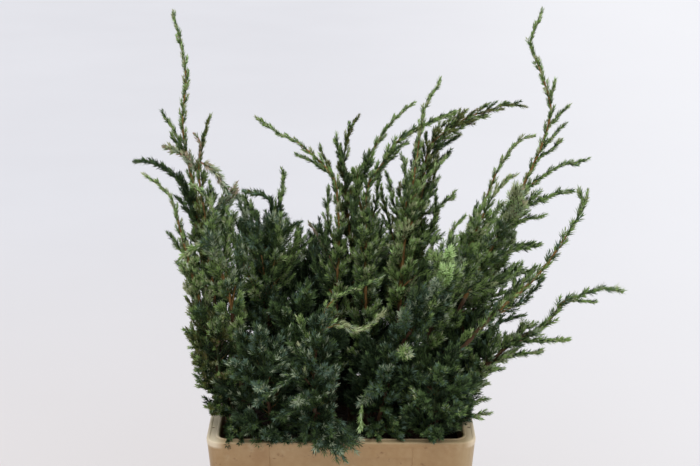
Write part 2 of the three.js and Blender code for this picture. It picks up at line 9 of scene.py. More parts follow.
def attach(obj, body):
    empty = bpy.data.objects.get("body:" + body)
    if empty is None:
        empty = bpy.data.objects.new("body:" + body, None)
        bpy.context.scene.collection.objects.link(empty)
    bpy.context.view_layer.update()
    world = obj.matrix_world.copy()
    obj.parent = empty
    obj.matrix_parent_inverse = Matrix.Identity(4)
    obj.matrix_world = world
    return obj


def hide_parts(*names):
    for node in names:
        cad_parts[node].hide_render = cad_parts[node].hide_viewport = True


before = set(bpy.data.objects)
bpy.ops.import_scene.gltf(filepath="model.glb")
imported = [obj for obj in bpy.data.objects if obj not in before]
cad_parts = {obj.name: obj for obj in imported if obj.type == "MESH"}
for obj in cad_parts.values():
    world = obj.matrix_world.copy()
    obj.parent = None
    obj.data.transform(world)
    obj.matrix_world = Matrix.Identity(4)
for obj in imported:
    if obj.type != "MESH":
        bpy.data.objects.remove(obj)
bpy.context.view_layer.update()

MM = 0.001
GOLDEN_ANGLE = math.pi * (3 - math.sqrt(5))
UP = np.array([0.0, 0.0, 1.0])
draw = np.random.default_rng(1979)

# Pot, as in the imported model, in millimetres.
POT_WIDTH = 390
POT_DEPTH = 285
POT_HEIGHT = 260
FOOT_WIDTH = 322
FOOT_DEPTH = 217
RIM_WIDTH = 18
SKIRT_HEIGHT = 72
SKIRT_DRAFT = 6
WALL = 3
CORNER = 24
TUB_CORNER = 18
FLOOR = 4
SOIL_TOP = 225
# How deep in the soil a stem's foot is.
SUNK = 12
# The tub's foot, from its underside out and up: how far inside, its corner and its height.
FOOT_EDGE = ((28, 6, 3.0), (20, 8, 0.4), (12, 12, 0.0), (3.2, 16, 0.0), (0.8, 17.6, 0.5))
FOOT_TOP = 1.8
# Rings half way up the tub, outside and inside, and how its foot rounds into its floor.
OUTER_RING = 90
INNER_RING = 150
FLOOR_ROUND = {"up": 6, "in": 5}
# How the tub rounds out to the underside of the rim, and the skirt in to it.
RIM_ROUND = {"down": 3, "out": 1.2, "in": 2}
# The skirt's bands at its foot and top, the field between them, and the edges' rounding.
LOW_BAND = 5
HIGH_BAND = 8
FIELD = {"deep": 0.5, "slope": 0.6}
EDGE = 0.8
# The rim, over its outer edge and down into the tub: how far under its top, and how far out by
# the skirt and by the tub.
RIM_OUTSIDE = ((2.4, 0), (0.7, -0.7), (0, -2.4), (0, -4.4), (0.9, -5.4))
RIM_INSIDE = ((0.9, 1.6), (0, 0.6), (0, -1.4), (0.8, -2.6), (3, -WALL))
CORNER_STEPS = 6
# The plain panel on the skirt, the two fine lines over its ends, and the holes in the rim.
PANEL = {"half_width": 103, "top": 236, "foot": 196, "deep": 1.4, "slope": 0.8}
MOULDING = {"half_width": 0.5, "deep": 0.4, "slope": 0.15}
# Which faces are the skirt's long side: how far in they may be, and how squarely they face out.
LONG_SIDE = {"in": 8, "facing": 0.9}
RIM_HOLE = {"x": 187, "y": 80, "radius": 2.6, "sides": 20, "punch": 12}
# The soil's gap to the tub, how far its mean height is under SOIL_TOP, its foot's height, how
# its sides draw in to there, and how finely its top is cut.
SOIL_GAP = 0.4
SOIL_LOW = 3
SOIL_FOOT = 6
SOIL_DRAFT = (0.88, 0.84)
SOIL_CUT = (84, 62)
# The lumps in it: their height, their width, and where their noise is read.
LUMPS = ((4.5, 22, 0), (2.4, 6, 5))

# Wood, in millimetres.
STEM_RADIUS = 5.2
THICKER = {"right_diagonal": 1.35}
# Where a stem enters its foliage, which takes up the rest of its taper.
ENTRY_RADIUS = 3.0
WHIP_TIP_RADIUS = 0.7
SIDE_WHIP_RADIUS = 1.5
BUSH_STEM_RADIUS = 3.6
LOBE_BOUGH_RADIUS = 1.3
# Old bark reaches up to this height, and a limb's end is green for this length.
OLD_BARK_TOP = 430
GREEN_END = 70
# Corners nearer together than this are one.
MERGED = 0.02
# A limb is thick over this radius. How many sides and how long the rings of both sorts are.
THICK = 3
THICK_CUT = (9, 4.2)
THIN_CUT = (5, 6.0)
# How deep the bark's ridges and knuckles are, by the radius, and how close along and round a limb.
RIDGES = {"deep": 0.22, "along": 60, "round": 2.2}
KNUCKLES = {"deep": 0.12, "along": 95}
# How far the edge of old bark wanders in height, and how close its patches are.
BARK_EDGE = {"wander": 30, "along": 12}

# A twig's sides, the share of it where its second ring is, how bare a woody one is, and how much
# thicker that ring is than the first.
TWIG_SIDES = 3
TWIG_RING = 0.42
WOODY = 0.1
THICKENS = {"woody": -0.15, "green": 0.5}

# Side growth, in millimetres and radians, as in the source, at a closer spacing. A plume's sprays
# stand in fans of three. They get longer towards its foot, and each is longer by a share of the
# core's radius where it leaves, and bare by a share of that.
PLUME_SPACING = 4.0
TIP_SPRAY = 26
PLUME_SHAPE = 0.7
PLUME_UNEVEN = 9
PLUME_BARE = {"least": 0.1, "in_core": 0.4}
CORE_SHARE = 0.75
CORE_FOOT = 0.1
CORE_SHAPE = 0.75
FAN = 3
FAN_SPREAD = 0.42
LEAN = {"tip": 0.30, "foot": 0.72, "spread": 0.2}
# Growth keeps this clear of the soil, and of the pot's wall on both sides of it.
CLEAR = {"soil": 6, "inside": 3, "outside": 5}
# Sprays: how far they bend, their twig's radius, its bare share, and the gap between whorls,
# wider in the shade mix of painted shade.
SPRAY_BEND = 0.32
SPRAY_CORE = 0.95
SPRAY_BARE = 0.12
SPRAY_GAP = 1.9
SHADE_GAP = 2.6
# Where along a spray it is looked at, besides its tip, to keep it clear.
PARTWAY = 0.6
# A spray has side shoots from just past its bare part up to this share of it, and none in the
# last of its length: how close they are, and how they vary in place, lean and length.
SIDE_FROM = 0.02
SIDE_TO = 0.78
SPRAY_END = 12
SIDE_EVERY = 5.4
SIDE_PLACE = (0.2, 0.8)
SIDE_LEAN = (0.42, 0.66)
SIDE_LENGTH = {"tip": 0.26, "foot": 0.34, "least": 6, "uneven": (0.85, 1.15)}
SHORTEST_SIDE = 12
LONGEST_SIDE = 20
# Shoots: the same. A single one that would be longer than the longest is a spray.
SHOOT_BEND = 0.34
SHOOT_CORE = 1.15
SHOOT_GAP = 1.8
SHOOT_BARE = 0.04
SHORTEST_SHOOT = 5
LONGEST_SHOOT = 27
# How far from a whip's tip its last shoot and its own last needles are.
END_SHOOT = 11
END_BARE = 5
LEAN_UNEVEN = 0.14
SHOOT_UNEVEN = 5
SPACING_UNEVEN = (0.75, 1.25)
# A share of a limb, at its foot, that has no needles of its own.
NO_NEEDLES = 0.02
# A tuft's shoots: where along its twig they start and over how much of it, and how they lean and
# vary in length. The twig has needles of its own from a share of it on.
TUFT_FROM = 0.35
TUFT_RUN = 0.6
TUFT_LEAN = {"foot": 0.95, "less": 0.4}
TUFT_LENGTH = {"least": 0.75, "uneven": 0.4}
TUFT_CLAD = 0.4
# How much of a needle stands out past the end of a shoot's and of a spray's own twig.
PAST_END = {"shoot": 0.7, "spray": 0.62}
# How strongly growth turns up, on a whip, a tuft, and a plume or bush.
RISE = {"whip": 0.25, "tuft": 0.4, "spray": 0.5}

# Needles, in millimetres and radians: how many a whorl has, the length and lift of a close-set
# one, and what an open one has more. Its half width by its length is read off at its lift.
WHORL = 3
NEEDLE = 7.2
OPEN_NEEDLE = 2.6
LIFT = 0.46
OPEN_LIFT = 0.38
NEEDLE_SLIM = ((0.5, 0.95), (0.132, 0.075))
# How far from its twig's middle a needle starts, and by its length: its widest place, how it
# bulges there, how its tip curls in, and by its width how its sides fold up.
OFF_MIDDLE = 0.5
WIDEST = 0.42
BULGE = 0.05
CURL = 0.10
FOLD = 0.5
# How much less needles near a shoot's end lift, and how much shorter they are.
END_LESS_LIFT = 0.55
END_SHORTER = 0.16
# Needles on a limb's own bark.
BARK_NEEDLE = 7.0
BARK_LIFT = 0.42
BARK_RUN = 12
BARK_LIGHT = 0.8
# How needles vary: their place between whorls, and their turn, lift, size and width.
VARY = {"place": (0.1, 0.9), "turn": 0.25, "lift": (0.8, 1.2), "size": (0.78, 1.15),
        "wide": (0.85, 1.2)}

# How a bare length of whip is set with single shoots: their spacing, length and lean at its
# tip, and the same at FULL_DEPTH from there. The longest are sprays with shoots of their own.
HABITS = {
    "bare": ((14, 12), (10, 13), (0.2, 0.4)),
    "chain": ((9.5, 7.0), (15, 21), (0.18, 0.38)),
    "stout": ((6.0, 5.5), (12, 18), (0.26, 0.50)),
    "fluffy": ((3.4, 3.2), (11, 14), (0.45, 0.80)),
    "plump": ((9.0, 7.5), (14, 20), (0.24, 0.44)),
    "full": ((8.5, 4.6), (16, 30), (0.28, 0.60)),
}
FULL_DEPTH = 120
# How far down from its tip each kind has needles on its own bark.
CLAD = {"bare": 40, "chain": 85, "stout": 85, "fluffy": 12, "plump": 45, "full": 45}
# How much longer and wider its needles are.
STOUT = {"stout": 1.25, "plump": 1.3, "fluffy": 1.35}

# Each whip is its line, its foliage, its end, and then its laterals. Its line rises from its foot in
# the soil through its bends to its tip. Its foliage is a plume of sprays round a dense core: the
# heights where it starts and where it opens, the sprays' reach at its foot, the core's radius, and
# its tones. From there to the tip it is set with single shoots: their tones and their habit. A
# lateral is the height that it leaves at, its line, and where they aren't the plain ones, its
# tones, its habit and its bare share.
PLAIN_LATERAL = ("green", "full", 0.08)
WHIPS = {
    "left_leader": (
        [(-148, -12), (-181, -18, 312), (-204, 0, 475), (-211, 10, 565), (-222, 15, 628),
         (-231, 20, 692), (-225, 25, 760), (-233, 28, 817), (-243, 30, 855)],
        (425, 575, 36, 11, "green"), ("whip", "chain"),
        (634, [(-242, 16, 681), (-261, 15, 711)], "green", "chain"),
        (632, [(-240, 26, 660), (-250, 28, 678)], "green", "chain"),
        (562, [(-230, 2, 603), (-250, 0, 626), (-276, 0, 640), (-304, 0, 641)], "dark", "stout"),
        (540, [(-222, -6, 566), (-240, -8, 592)], "dark"),
        (470, [(-218, -2, 500), (-236, -4, 540)], "dark"),
    ),
    "left_second": (
        [(-148, -28), (-177, -22, 360), (-192, -20, 482), (-199, -20, 566), (-205, -20, 640),
         (-188, -20, 714)],
        (430, 560, 34, 0, "brown"), ("brown", "chain"),
        (648, [(-202, -24, 675), (-212, -28, 690)], "dry", "bare"),
        (618, [(-213, -14, 639), (-227, -8, 651), (-259, -4, 666)], "faded", "fluffy"),
        (644, [(-185, -14, 631), (-173, -12, 612), (-163, -10, 589)], "faded", "fluffy"),
        (545, [(-190, -14, 572), (-182, -10, 598)]),
    ),
    "left_outer": (
        [(-158, -52), (-186, -44, 350), (-212, -42, 460), (-229, -42, 534), (-242, -42, 590),
         (-259, -42, 614), (-281, -42, 631)],
        (405, 500, 28, 9, "fresh"), ("fresh", "chain"),
        (505, [(-238, -48, 530), (-247, -50, 548)]),
        (345, [(-204, -42, 420), (-218, -42, 470), (-238, -42, 503)], "brown"),
        (330, [(-208, -40, 400), (-224, -40, 445)], "brown"),
        (300, [(-200, -42, 340), (-217, -42, 392)], "brown"),
    ),
    "front_left": (
        [(-132, -72), (-148, -77, 350), (-160, -77, 454), (-176, -76, 508), (-185, -75, 546),
         (-182, -74, 582), (-192, -72, 608), (-215, -70, 626)],
        (380, 566, 30, 10, "soft"), ("light", "chain"),
        (512, [(-184, -82, 541), (-206, -86, 535), (-233, -88, 516)], "light", "stout"),
        (450, [(-186, -84, 478), (-206, -86, 500)]),
        (470, [(-166, -62, 524), (-163, -54, 586)]),
        (440, [(-150, -66, 490), (-146, -62, 548)], "blue"),
    ),
    "left_mid": (
        [(-104, -4), (-110, 0, 400), (-104, 4, 521), (-96, 6, 560), (-86, 8, 598), (-84, 10, 627)],
        (350, 548, 42, 18, "dark"), ("green", "full"),
        (535, [(-100, 4, 572), (-112, 4, 588), (-127, 2, 592), (-144, 0, 597)], "dark", "stout"),
        (500, [(-78, 10, 538), (-58, 14, 545)], "dark"),
        (430, [(-128, 0, 500), (-143, -2, 572)], "soft"),
        (410, [(-138, -22, 480), (-163, -30, 560)], "soft"),
        (440, [(-116, -22, 500), (-124, -30, 575)], "dark"),
        (455, [(-94, -16, 510), (-88, -22, 566)], "soft"),
        (430, [(-82, 10, 480), (-62, 12, 530)], "soft"),
        (420, [(-124, 24, 500), (-136, 30, 566)], "soft"),
        (500, [(-140, -8, 562), (-152, -8, 594)], "frost"),
    ),
    "centre_left": (
        [(-14, -2), (-8, 0, 400), (-4, 6, 510), (-6, 8, 592), (-20, 10, 626), (-61, 10, 665),
         (-88, 10, 679), (-125, 10, 705)],
        (350, 520, 32, 10, "green"), ("whip", "chain"),
        (618, [(-46, 6, 642), (-68, 4, 650)], "green", "chain"),
        (580, [(-16, 14, 625), (-33, 20, 658)], "brown", "chain"),
        (430, [(-34, 4, 470), (-44, 8, 508)], "dark"),
        (440, [(-24, 10, 490), (-20, 16, 548)]),
        (500, [(-20, 14, 550), (-18, 18, 600)]),
        (470, [(-30, 18, 515), (-49, 20, 546)], "dry", "bare"),
    ),
    "centre": (
        [(14, 26), (18, 42, 430), (8, 44, 560), (4, 42, 630), (10, 38, 672), (23, 38, 699)],
        (370, 612, 36, 11, "brown"), ("brown", "full"),
        (600, [(-3, 42, 645), (-10, 44, 669)]),
        (540, [(22, 40, 580), (28, 38, 625)]),
    ),
    "centre_right": (
        [(48, 64), (50, 78, 440), (24, 78, 580), (35, 76, 619), (55, 70, 655), (75, 64, 686),
         (106, 60, 716)],
        (380, 590, 38, 13, "fresh"), ("fresh", "chain"),
        (500, [(52, 70, 560), (56, 66, 612)]),
    ),
    "arch": (
        [(64, 10), (98, 16, 460), (119, 20, 590), (127, 22, 651), (144, 20, 674), (177, 20, 698),
         (215, 20, 713), (244, 20, 721), (267, 20, 719)],
        (375, 588, 38, 14, "brown"), ("brown", "full"),
        (682, [(168, 16, 692), (195, 12, 699)], "brown", "chain"),
        (640, [(146, 22, 658), (175, 20, 676)], "dark"),
        (606, [(134, 22, 630), (162, 26, 648)], "dark"),
        (550, [(142, 22, 567), (170, 30, 585)]),
        (500, [(134, 22, 530), (143, 24, 560)]),
        (450, [(68, 10, 555), (57, 6, 602)], "brown"),
        (490, [(92, 8, 560), (83, 8, 602)], "brown"),
        (470, [(100, 24, 560), (104, 30, 625)], "brown"),
        (570, [(134, 18, 604), (141, 16, 648)], "brown"),
        (480, [(134, 12, 540), (140, 8, 588)]),
    ),
    "arch_left": (
        [(36, -22), (36, -24, 500), (38, -22, 604), (63, -18, 646), (81, -17, 674), (124, -14, 700),
         (166, -14, 717)],
        (300, 568, 38, 15, "green"), ("green", "stout"),
        (652, [(84, -20, 668), (99, -24, 673)], "green", "chain"),
        (600, [(58, -16, 634), (84, -14, 660)], "green", "chain"),
        (500, [(50, -22, 540), (52, -20, 566)]),
        (480, [(24, -22, 540), (14, -18, 590)], "dark"),
    ),
    "upright": (
        [(74, -22), (90, -26, 500), (101, -22, 590), (112, -18, 672), (120, -12, 722), (144, -2, 762)],
        (390, 600, 34, 11, "fresh"), ("fresh", "chain"),
        (540, [(94, -28, 610), (89, -30, 657)]),
        (585, [(128, -24, 628), (153, -22, 655)], "fresh", "chain"),
        (540, [(124, -26, 590), (141, -22, 622)]),
        (450, [(118, -34, 490), (138, -40, 540)]),
        (420, [(118, -46, 460), (146, -52, 506)]),
    ),
    "right_leader": (
        [(112, 4), (170, 12, 395), (236, 27, 528), (274, 38, 605), (295, 40, 656), (307, 40, 705),
         (300, 40, 740), (283, 40, 785), (275, 40, 811), (291, 40, 855)],
        (420, 560, 34, 11, "soft"), ("whip", "chain"),
        (722, [(308, 38, 736), (312, 36, 756)], "fresh", "chain"),
        (684, [(318, 40, 700), (334, 40, 717)], "green", "chain"),
        (648, [(312, 43, 668), (329, 46, 688)], "green", "chain"),
        (634, [(308, 38, 648), (325, 36, 667)], "green", "chain"),
        (584, [(301, 38, 611), (324, 38, 626), (345, 40, 629), (363, 40, 635)], "green", "chain"),
        (556, [(296, 34, 574), (322, 36, 585), (346, 36, 587)], "green", "stout"),
        (540, [(262, 32, 566), (280, 30, 602)]),
        (508, [(262, 30, 540), (282, 28, 548), (301, 26, 550)]),
        (470, [(240, 20, 500), (258, 16, 524)]),
        (470, [(248, 24, 497), (270, 22, 503), (298, 20, 510)], "green", "stout"),
    ),
    "right_back": (
        [(96, 42), (134, 50, 355), (186, 66, 490), (214, 76, 556), (234, 80, 607), (258, 82, 645),
         (276, 84, 658), (291, 84, 660)],
        (350, 520, 34, 14, "fresh"), ("fresh", "chain"),
        (480, [(198, 62, 530), (200, 58, 560)]),
    ),
    "right_inner": (
        [(92, -34), (124, -34, 375), (176, -36, 499), (201, -38, 560), (222, -37, 604),
         (248, -36, 631)],
        (350, 530, 38, 14, "soft"), ("whip", "full"),
        (520, [(216, -30, 560), (236, -26, 588)], "soft"),
        (440, [(190, -40, 490), (214, -42, 530)], "soft"),
        (400, [(168, -42, 450), (192, -46, 494)]),
    ),
    "right_diagonal": (
        [(62, -84), (133, -84, 325), (196, -76, 405), (233, -70, 440), (287, -64, 492), (329, -62, 556),
         (345, -61, 592), (337, -60, 614)],
        (330, 380, 28, 0, "green"), ("soft", "plump"),
        (426, [(262, -68, 450), (293, -70, 486)], "dark"),
        (408, [(240, -60, 452), (260, -58, 478)], "dark"),
        (440, [(258, -60, 468), (284, -54, 500)], "green", "stout"),
        (455, [(250, -60, 484), (263, -56, 504)], "green", "chain"),
        (575, [(350, -62, 600), (352, -62, 617)], "fresh", "bare"),
    ),
    "right_low": (
        [(116, -56), (158, -52, 286), (250, -38, 374), (292, -33, 396), (311, -30, 414),
         (325, -30, 435), (346, -30, 445), (383, -30, 457), (414, -30, 452)],
        (300, 392, 34, 9, "green"), ("soft", "plump"),
        (438, [(350, -34, 439), (375, -38, 438)], "green", "chain"),
        (348, [(252, -44, 358), (298, -46, 365)], "green", "stout"),
        (376, [(268, -26, 392), (290, -22, 399)], "green", "chain"),
        (378, [(300, -38, 379), (338, -38, 380)], "green", "stout"),
        (340, [(226, -36, 400), (270, -30, 417)], "dark"),
        (310, [(206, -20, 318), (240, -12, 328)]),
        (290, [(190, -40, 282), (218, -30, 286)]),
        (290, [(186, -58, 270), (219, -60, 274)], "fresh"),
    ),
    "right_high": (
        [(130, 26), (172, 36, 345), (226, 44, 450), (252, 44, 493), (272, 44, 502), (293, 44, 504)],
        (365, 470, 34, 11, "soft"), ("soft", "stout"),
        (420, [(238, 36, 447), (264, 30, 462), (286, 20, 467)], "green", "stout"),
        (380, [(226, 24, 412), (262, 22, 436)]),
    ),
    "front_spray": (
        [(-30, -100), (-38, -132, 318), (-36, -148, 392), (-28, -151, 446), (-10, -151, 478),
         (20, -150, 494), (60, -150, 511)],
        (272, 440, 44, 20, "blue"), ("green", "chain"),
        (432, [(-4, -153, 442), (14, -155, 437), (34, -156, 437), (50, -158, 452),
              (63, -160, 468)], "pale", "stout"),
        (372, [(-62, -164, 398), (-97, -176, 381)], "tipped"),
        (340, [(-62, -166, 372), (-103, -178, 344)], "tipped"),
        (360, [(-50, -160, 400), (-74, -168, 418)], "tipped"),
        (390, [(-50, -156, 430), (-58, -160, 458)]),
        (310, [(-56, -160, 322), (-92, -172, 310)], "blue"),
        (330, [(-16, -160, 352), (-4, -170, 384)], "blue"),
        (300, [(-48, -158, 290), (-52, -168, 272)], "blue"),
        (292, [(-34, -158, 284), (-34, -172, 262)], "blue"),
        (292, [(-12, -160, 280), (6, -178, 246)], "blue"),
        (300, [(-4, -156, 296), (18, -168, 272)], "blue"),
    ),
    "front_right": (
        [(40, -88), (84, -98, 385), (128, -97, 440), (150, -94, 492), (154, -90, 540), (160, -88, 564),
         (178, -84, 583)],
        (290, 500, 38, 15, "blue"), ("green", "chain"),
        (400, [(122, -112, 440), (140, -118, 486)]),
        (360, [(106, -116, 396), (124, -122, 436)], "blue"),
        (326, [(48, -114, 332), (32, -134, 326), (27, -141, 276)], "bright", "chain", 0.6),
        (300, [(66, -122, 302), (80, -146, 292)], "dark"),
        (270, [(44, -116, 278), (42, -140, 270)], "dark"),
        (280, [(70, -112, 284), (84, -138, 270)], "dark"),
    ),
    "back_left": (
        [(-108, 62), (-134, 84, 400), (-146, 104, 470), (-150, 128, 540)],
        (360, 500, 44, 19, "dark"), ("dark", "full"),
        (430, [(-160, 110, 480), (-174, 124, 520)], "dark"),
    ),
    "back_mid": (
        [(-40, 66), (-46, 92, 400), (-42, 112, 480), (-34, 130, 510)],
        (280, 480, 46, 22, "dark"), ("green", "full"),
        (430, [(-58, 96, 470), (-66, 70, 530)]),
        (430, [(-16, 100, 470), (0, 96, 520)], "dark"),
    ),
    "back_right": (
        [(72, 72), (96, 106, 420), (106, 130, 530), (116, 160, 640)],
        (380, 570, 44, 19, "dark"), ("dark", "full"),
        (480, [(84, 128, 530), (70, 150, 588)]),
    ),
    "back_far_right": (
        [(134, 62), (180, 98, 380), (206, 122, 450), (240, 150, 530)],
        (365, 475, 42, 16, "green"), ("green", "full"),
        (420, [(222, 96, 460), (262, 100, 500)]),
    ),
}

# Each bush is a dense low mass: its middle, and how far its thick of twigs reaches from there.
BUSHES = {
    "bush_left": ((-178, -62, 344), (29, 30, 62), "brown"),
    "bush_left_back": ((-170, 46, 350), (30, 35, 68), "dark"),
    "bush_front_left": ((-108, -114, 338), (32, 30, 60), "blue"),
    "bush_centre": ((-62, -50, 360), (32, 29, 83), "dark"),
    "bush_front_right": ((136, -110, 316), (29, 27, 41), "dark"),
    "bush_right": ((186, -6, 322), (27, 35, 45), "dark"),
    "bush_right_back": ((186, 86, 322), (29, 30, 47), "dark"),
    "bush_back_right": ((104, 112, 342), (35, 34, 68), "dark"),
    "bush_back": ((4, 112, 348), (35, 34, 75), "dark"),
    "bush_back_left": ((-92, 112, 342), (35, 34, 70), "dark"),
    # The last two bushes are in the shade mix, a painted shade deep in the crown's middle.
    "bush_middle": ((-58, 34, 350), (29, 24, 70), "shade"),
    "bush_middle_right": ((64, -62, 322), (22, 18, 38), "shade"),
}
# A bush's stem: where its foot is, by the middle, how high in the mass it ends, and where it
# thins.
BUSH_FOOT = (0.86, 0.8)
BUSH_STEM_TOP = 0.75
BUSH_STEM_ENTRY = 0.6
# Twigs inside a bush, in the shade mix of painted shade: how many, where along the stem, their length,
# lean and bare share.
INNER_TWIGS = 12
INNER_FROM = 0.3
INNER_RUN = 0.6
INNER_TWIG = 44
INNER_LEAN = 1.1
INNER_BARE = 0.2
# A bush's lobes, from top to foot: how far they stand out, how they step up to be clear, and
# the twigs on each one's bough.
LOBES = 17
BUSH_SPAN = (0.97, -0.96)
BUSH_RISE = 0.34
LOBE_OUT = 18
LOBE_UNEVEN = 10
LOBE_STEP_UP = 4
LOBE_TWIGS = 8
LOBE_TWIGS_FROM = 0.35
LOBE_TWIG = 31
LOBE_TWIG_UNEVEN = 12
LOBE_LEAN = (1.0, 0.25)
LOBE_BARE = 0.08
# A bough leaves the stem this far under its lobe, and no nearer than this to soil and stem top.
BOUGH_DROP = 26
BOUGH_CLEAR = {"soil": 14, "top": 4}
BOUGH_SAG = 3
# The crown's foot is drawn in to the pot: half its width at the rim, its growth with height, and
# the share of a twig's length that lobes keep inside of it.
FOOT_HALF = 178
FOOT_SPREAD = 0.40
FOOT_KEEP = 0.4

# Tufts of open, feathery needles: the whip and height that they grow from, their middle, how
# far their sprays spread, how many there are, and their tones. Those in the shade mix are
# painted shade that fills gaps deep in the crown.
TUFTS = [
    ("front_right", 470, (148, -118, 510), 24, 26, "bright"),
    ("front_right", 500, (152, -114, 536), 17, 12, "bright"),
    ("front_right", 450, (136, -118, 490), 24, 12, "frost"),
    ("front_right", 330, (27, -139, 318), 15, 8, "frost"),
    ("front_right", 330, (46, -134, 336), 20, 8, "blue"),
    ("front_spray", 290, (-31, -166, 268), 26, 14, "blue"),
    ("front_spray", 286, (-8, -170, 262), 28, 18, "blue"),
    ("front_spray", 290, (15, -166, 270), 28, 16, "blue"),
    ("front_spray", 280, (-14, -158, 286), 26, 14, "blue"),
    ("front_right", 480, (134, -108, 528), 26, 12, "soft"),
    ("front_right", 460, (164, -104, 506), 24, 10, "soft"),
    ("front_right", 420, (110, -116, 470), 34, 20, "blue"),
    ("front_right", 400, (92, -118, 446), 24, 12, "frost"),
    ("front_right", 372, (92, -128, 392), 22, 12, "soft"),
    ("front_right", 350, (118, -130, 352), 22, 10, "blue"),
    ("front_spray", 360, (-22, -166, 380), 16, 8, "frost"),
    ("front_spray", 330, (-62, -174, 334), 18, 8, "frost"),
    ("right_leader", 530, (264, 0, 576), 22, 22, "silver"),
    ("right_leader", 550, (258, 6, 596), 22, 16, "silver"),
    ("right_leader", 540, (272, 20, 592), 16, 10, "light"),
    ("right_leader", 500, (246, 16, 548), 26, 12, "soft"),
    ("left_second", 560, (-156, -10, 592), 20, 10, "faded"),
    ("left_second", 480, (-172, -6, 545), 34, 14, "green"),
    ("left_second", 510, (-170, -8, 578), 28, 12, "green"),
    ("left_mid", 470, (-80, 14, 535), 34, 16, "soft"),
    ("left_mid", 440, (-60, 20, 516), 34, 16, "green"),
    ("left_mid", 420, (-84, 20, 480), 36, 18, "green"),
    ("left_second", 490, (-156, 0, 558), 24, 12, "soft"),
    ("right_leader", 550, (289, 30, 583), 18, 10, "soft"),
    ("right_leader", 510, (270, 20, 558), 18, 8, "green"),
    ("left_leader", 545, (-236, 0, 622), 15, 12, "dark"),
    ("left_second", 600, (-198, -16, 625), 14, 8, "green"),
    ("left_second", 560, (-153, -8, 605), 16, 8, "faded"),
    ("upright", 520, (143, 10, 524), 20, 12, "green"),
    ("arch_left", 480, (69, 0, 521), 18, 10, "green"),
    ("centre_left", 470, (-34, 0, 544), 20, 10, "dark"),
    ("right_low", 320, (226, 0, 391), 20, 10, "green"),
    ("left_mid", 480, (-153, 0, 547), 16, 10, "dark"),
    ("left_second", 560, (-189, -10, 605), 16, 8, "green"),
    ("left_leader", 520, (-233, 0, 613), 18, 10, "dark"),
    ("left_mid", 520, (-143, 0, 589), 20, 12, "green"),
    ("front_right", 480, (144, -60, 532), 17, 8, "soft"),
    ("left_second", 460, (-166, 0, 512), 24, 12, "green"),
    ("back_mid", 330, (20, 50, 388), 38, 18, "shade"),
    ("back_mid", 370, (58, 50, 425), 34, 14, "shade"),
    ("back_mid", 420, (2, 60, 476), 34, 14, "shade"),
    ("back_mid", 420, (70, 60, 478), 34, 14, "shade"),
    ("right_low", 340, (235, 0, 373), 24, 10, "green"),
    ("right_leader", 400, (244, 10, 441), 24, 10, "green"),
    ("left_mid", 480, (-104, -14, 556), 28, 10, "blue"),
    ("centre_left", 420, (8, 10, 462), 34, 14, "shade"),
    ("arch_left", 440, (47, 6, 484), 34, 14, "shade"),
    ("arch_left", 480, (60, -14, 542), 28, 12, "green"),
    ("arch_left", 350, (68, 0, 386), 34, 14, "shade"),
    ("upright", 430, (124, 0, 474), 36, 18, "dark"),
    ("back_mid", 390, (-74, 88, 456), 44, 22, "shade"),
    ("back_mid", 400, (-36, 92, 468), 42, 20, "shade"),
    ("back_right", 410, (60, 92, 458), 44, 22, "shade"),
    ("back_right", 410, (124, 86, 446), 44, 22, "shade"),
    ("back_far_right", 370, (176, 66, 416), 40, 18, "shade"),
    ("right_leader", 380, (166, -10, 398), 30, 14, "green"),
    ("right_inner", 440, (238, -30, 470), 28, 14, "green"),
    ("right_high", 450, (260, 12, 474), 24, 12, "green"),
    ("centre_right", 570, (40, 40, 634), 26, 14, "green"),
    ("front_right", 520, (159, -92, 546), 22, 10, "green"),
    ("front_left", 500, (-188, -84, 540), 26, 12, "frost"),
    ("left_mid", 500, (-130, -36, 530), 22, 8, "blue"),
    ("left_outer", 400, (-206, -56, 430), 22, 8, "blue"),
    ("left_outer", 330, (-202, -30, 384), 26, 12, "dark"),
    ("bush_left", 330, (-204, -40, 348), 24, 12, "dark"),
    ("bush_left", 290, (-178, -60, 304), 20, 10, "dark"),
    ("bush_left", 252, (-154, -104, 272), 26, 14, "dark"),
    *[(name, 258, (x, -140, 261), 17, 8, tones) for name, x, tones in (
        ("bush_left", -162, "blue"), ("bush_left", -141, "dark"), ("bush_front_left", -119, "blue"),
        ("bush_front_left", -98, "dark"), ("bush_front_left", -76, "blue"),
        ("front_spray", -57, "dark"))],
    *[(name, 260, (x, -138, 263), 15, 7, "dark") for name, x in (
        ("front_right", 53), ("front_right", 88), ("bush_front_right", 128))],
    ("bush_front_left", 250, (-128, -114, 271), 28, 14, "dark"),
    ("bush_front_left", 262, (-92, -116, 270), 28, 14, "dark"),
    ("front_spray", 262, (-58, -116, 270), 28, 14, "blue"),
    ("front_spray", 250, (-22, -108, 260), 26, 14, "dark"),
    ("front_right", 262, (16, -108, 264), 28, 14, "shade"),
    ("front_right", 262, (52, -108, 266), 28, 14, "dark"),
    ("front_right", 270, (84, -104, 268), 28, 14, "dark"),
    ("bush_front_right", 258, (118, -106, 268), 28, 14, "dark"),
    ("bush_front_right", 250, (152, -98, 266), 26, 12, "dark"),
    ("centre", 300, (14, 18, 320), 42, 24, "shade"),
    ("centre", 250, (10, 10, 276), 38, 20, "shade"),
    ("centre", 340, (22, 16, 368), 40, 20, "shade"),
    ("centre_left", 350, (-8, -26, 372), 38, 18, "shade"),
    ("centre_left", 400, (-10, 40, 430), 40, 18, "shade"),
    ("centre_right", 380, (30, 56, 420), 42, 20, "shade"),
    ("centre_right", 420, (70, 50, 440), 40, 18, "dark"),
    ("arch_left", 330, (70, 20, 352), 40, 20, "shade"),
    ("left_mid", 380, (-80, 30, 406), 40, 18, "shade"),
]

# How far their needles stand open, where it is more than elsewhere.
TUFT_OPENNESS = {"shade": 1.3, "soft": 1.0, "blue": 1.1, "frost": 1.1, "light": 0.9,
                 "silver": 0.9, "bright": 0.9}

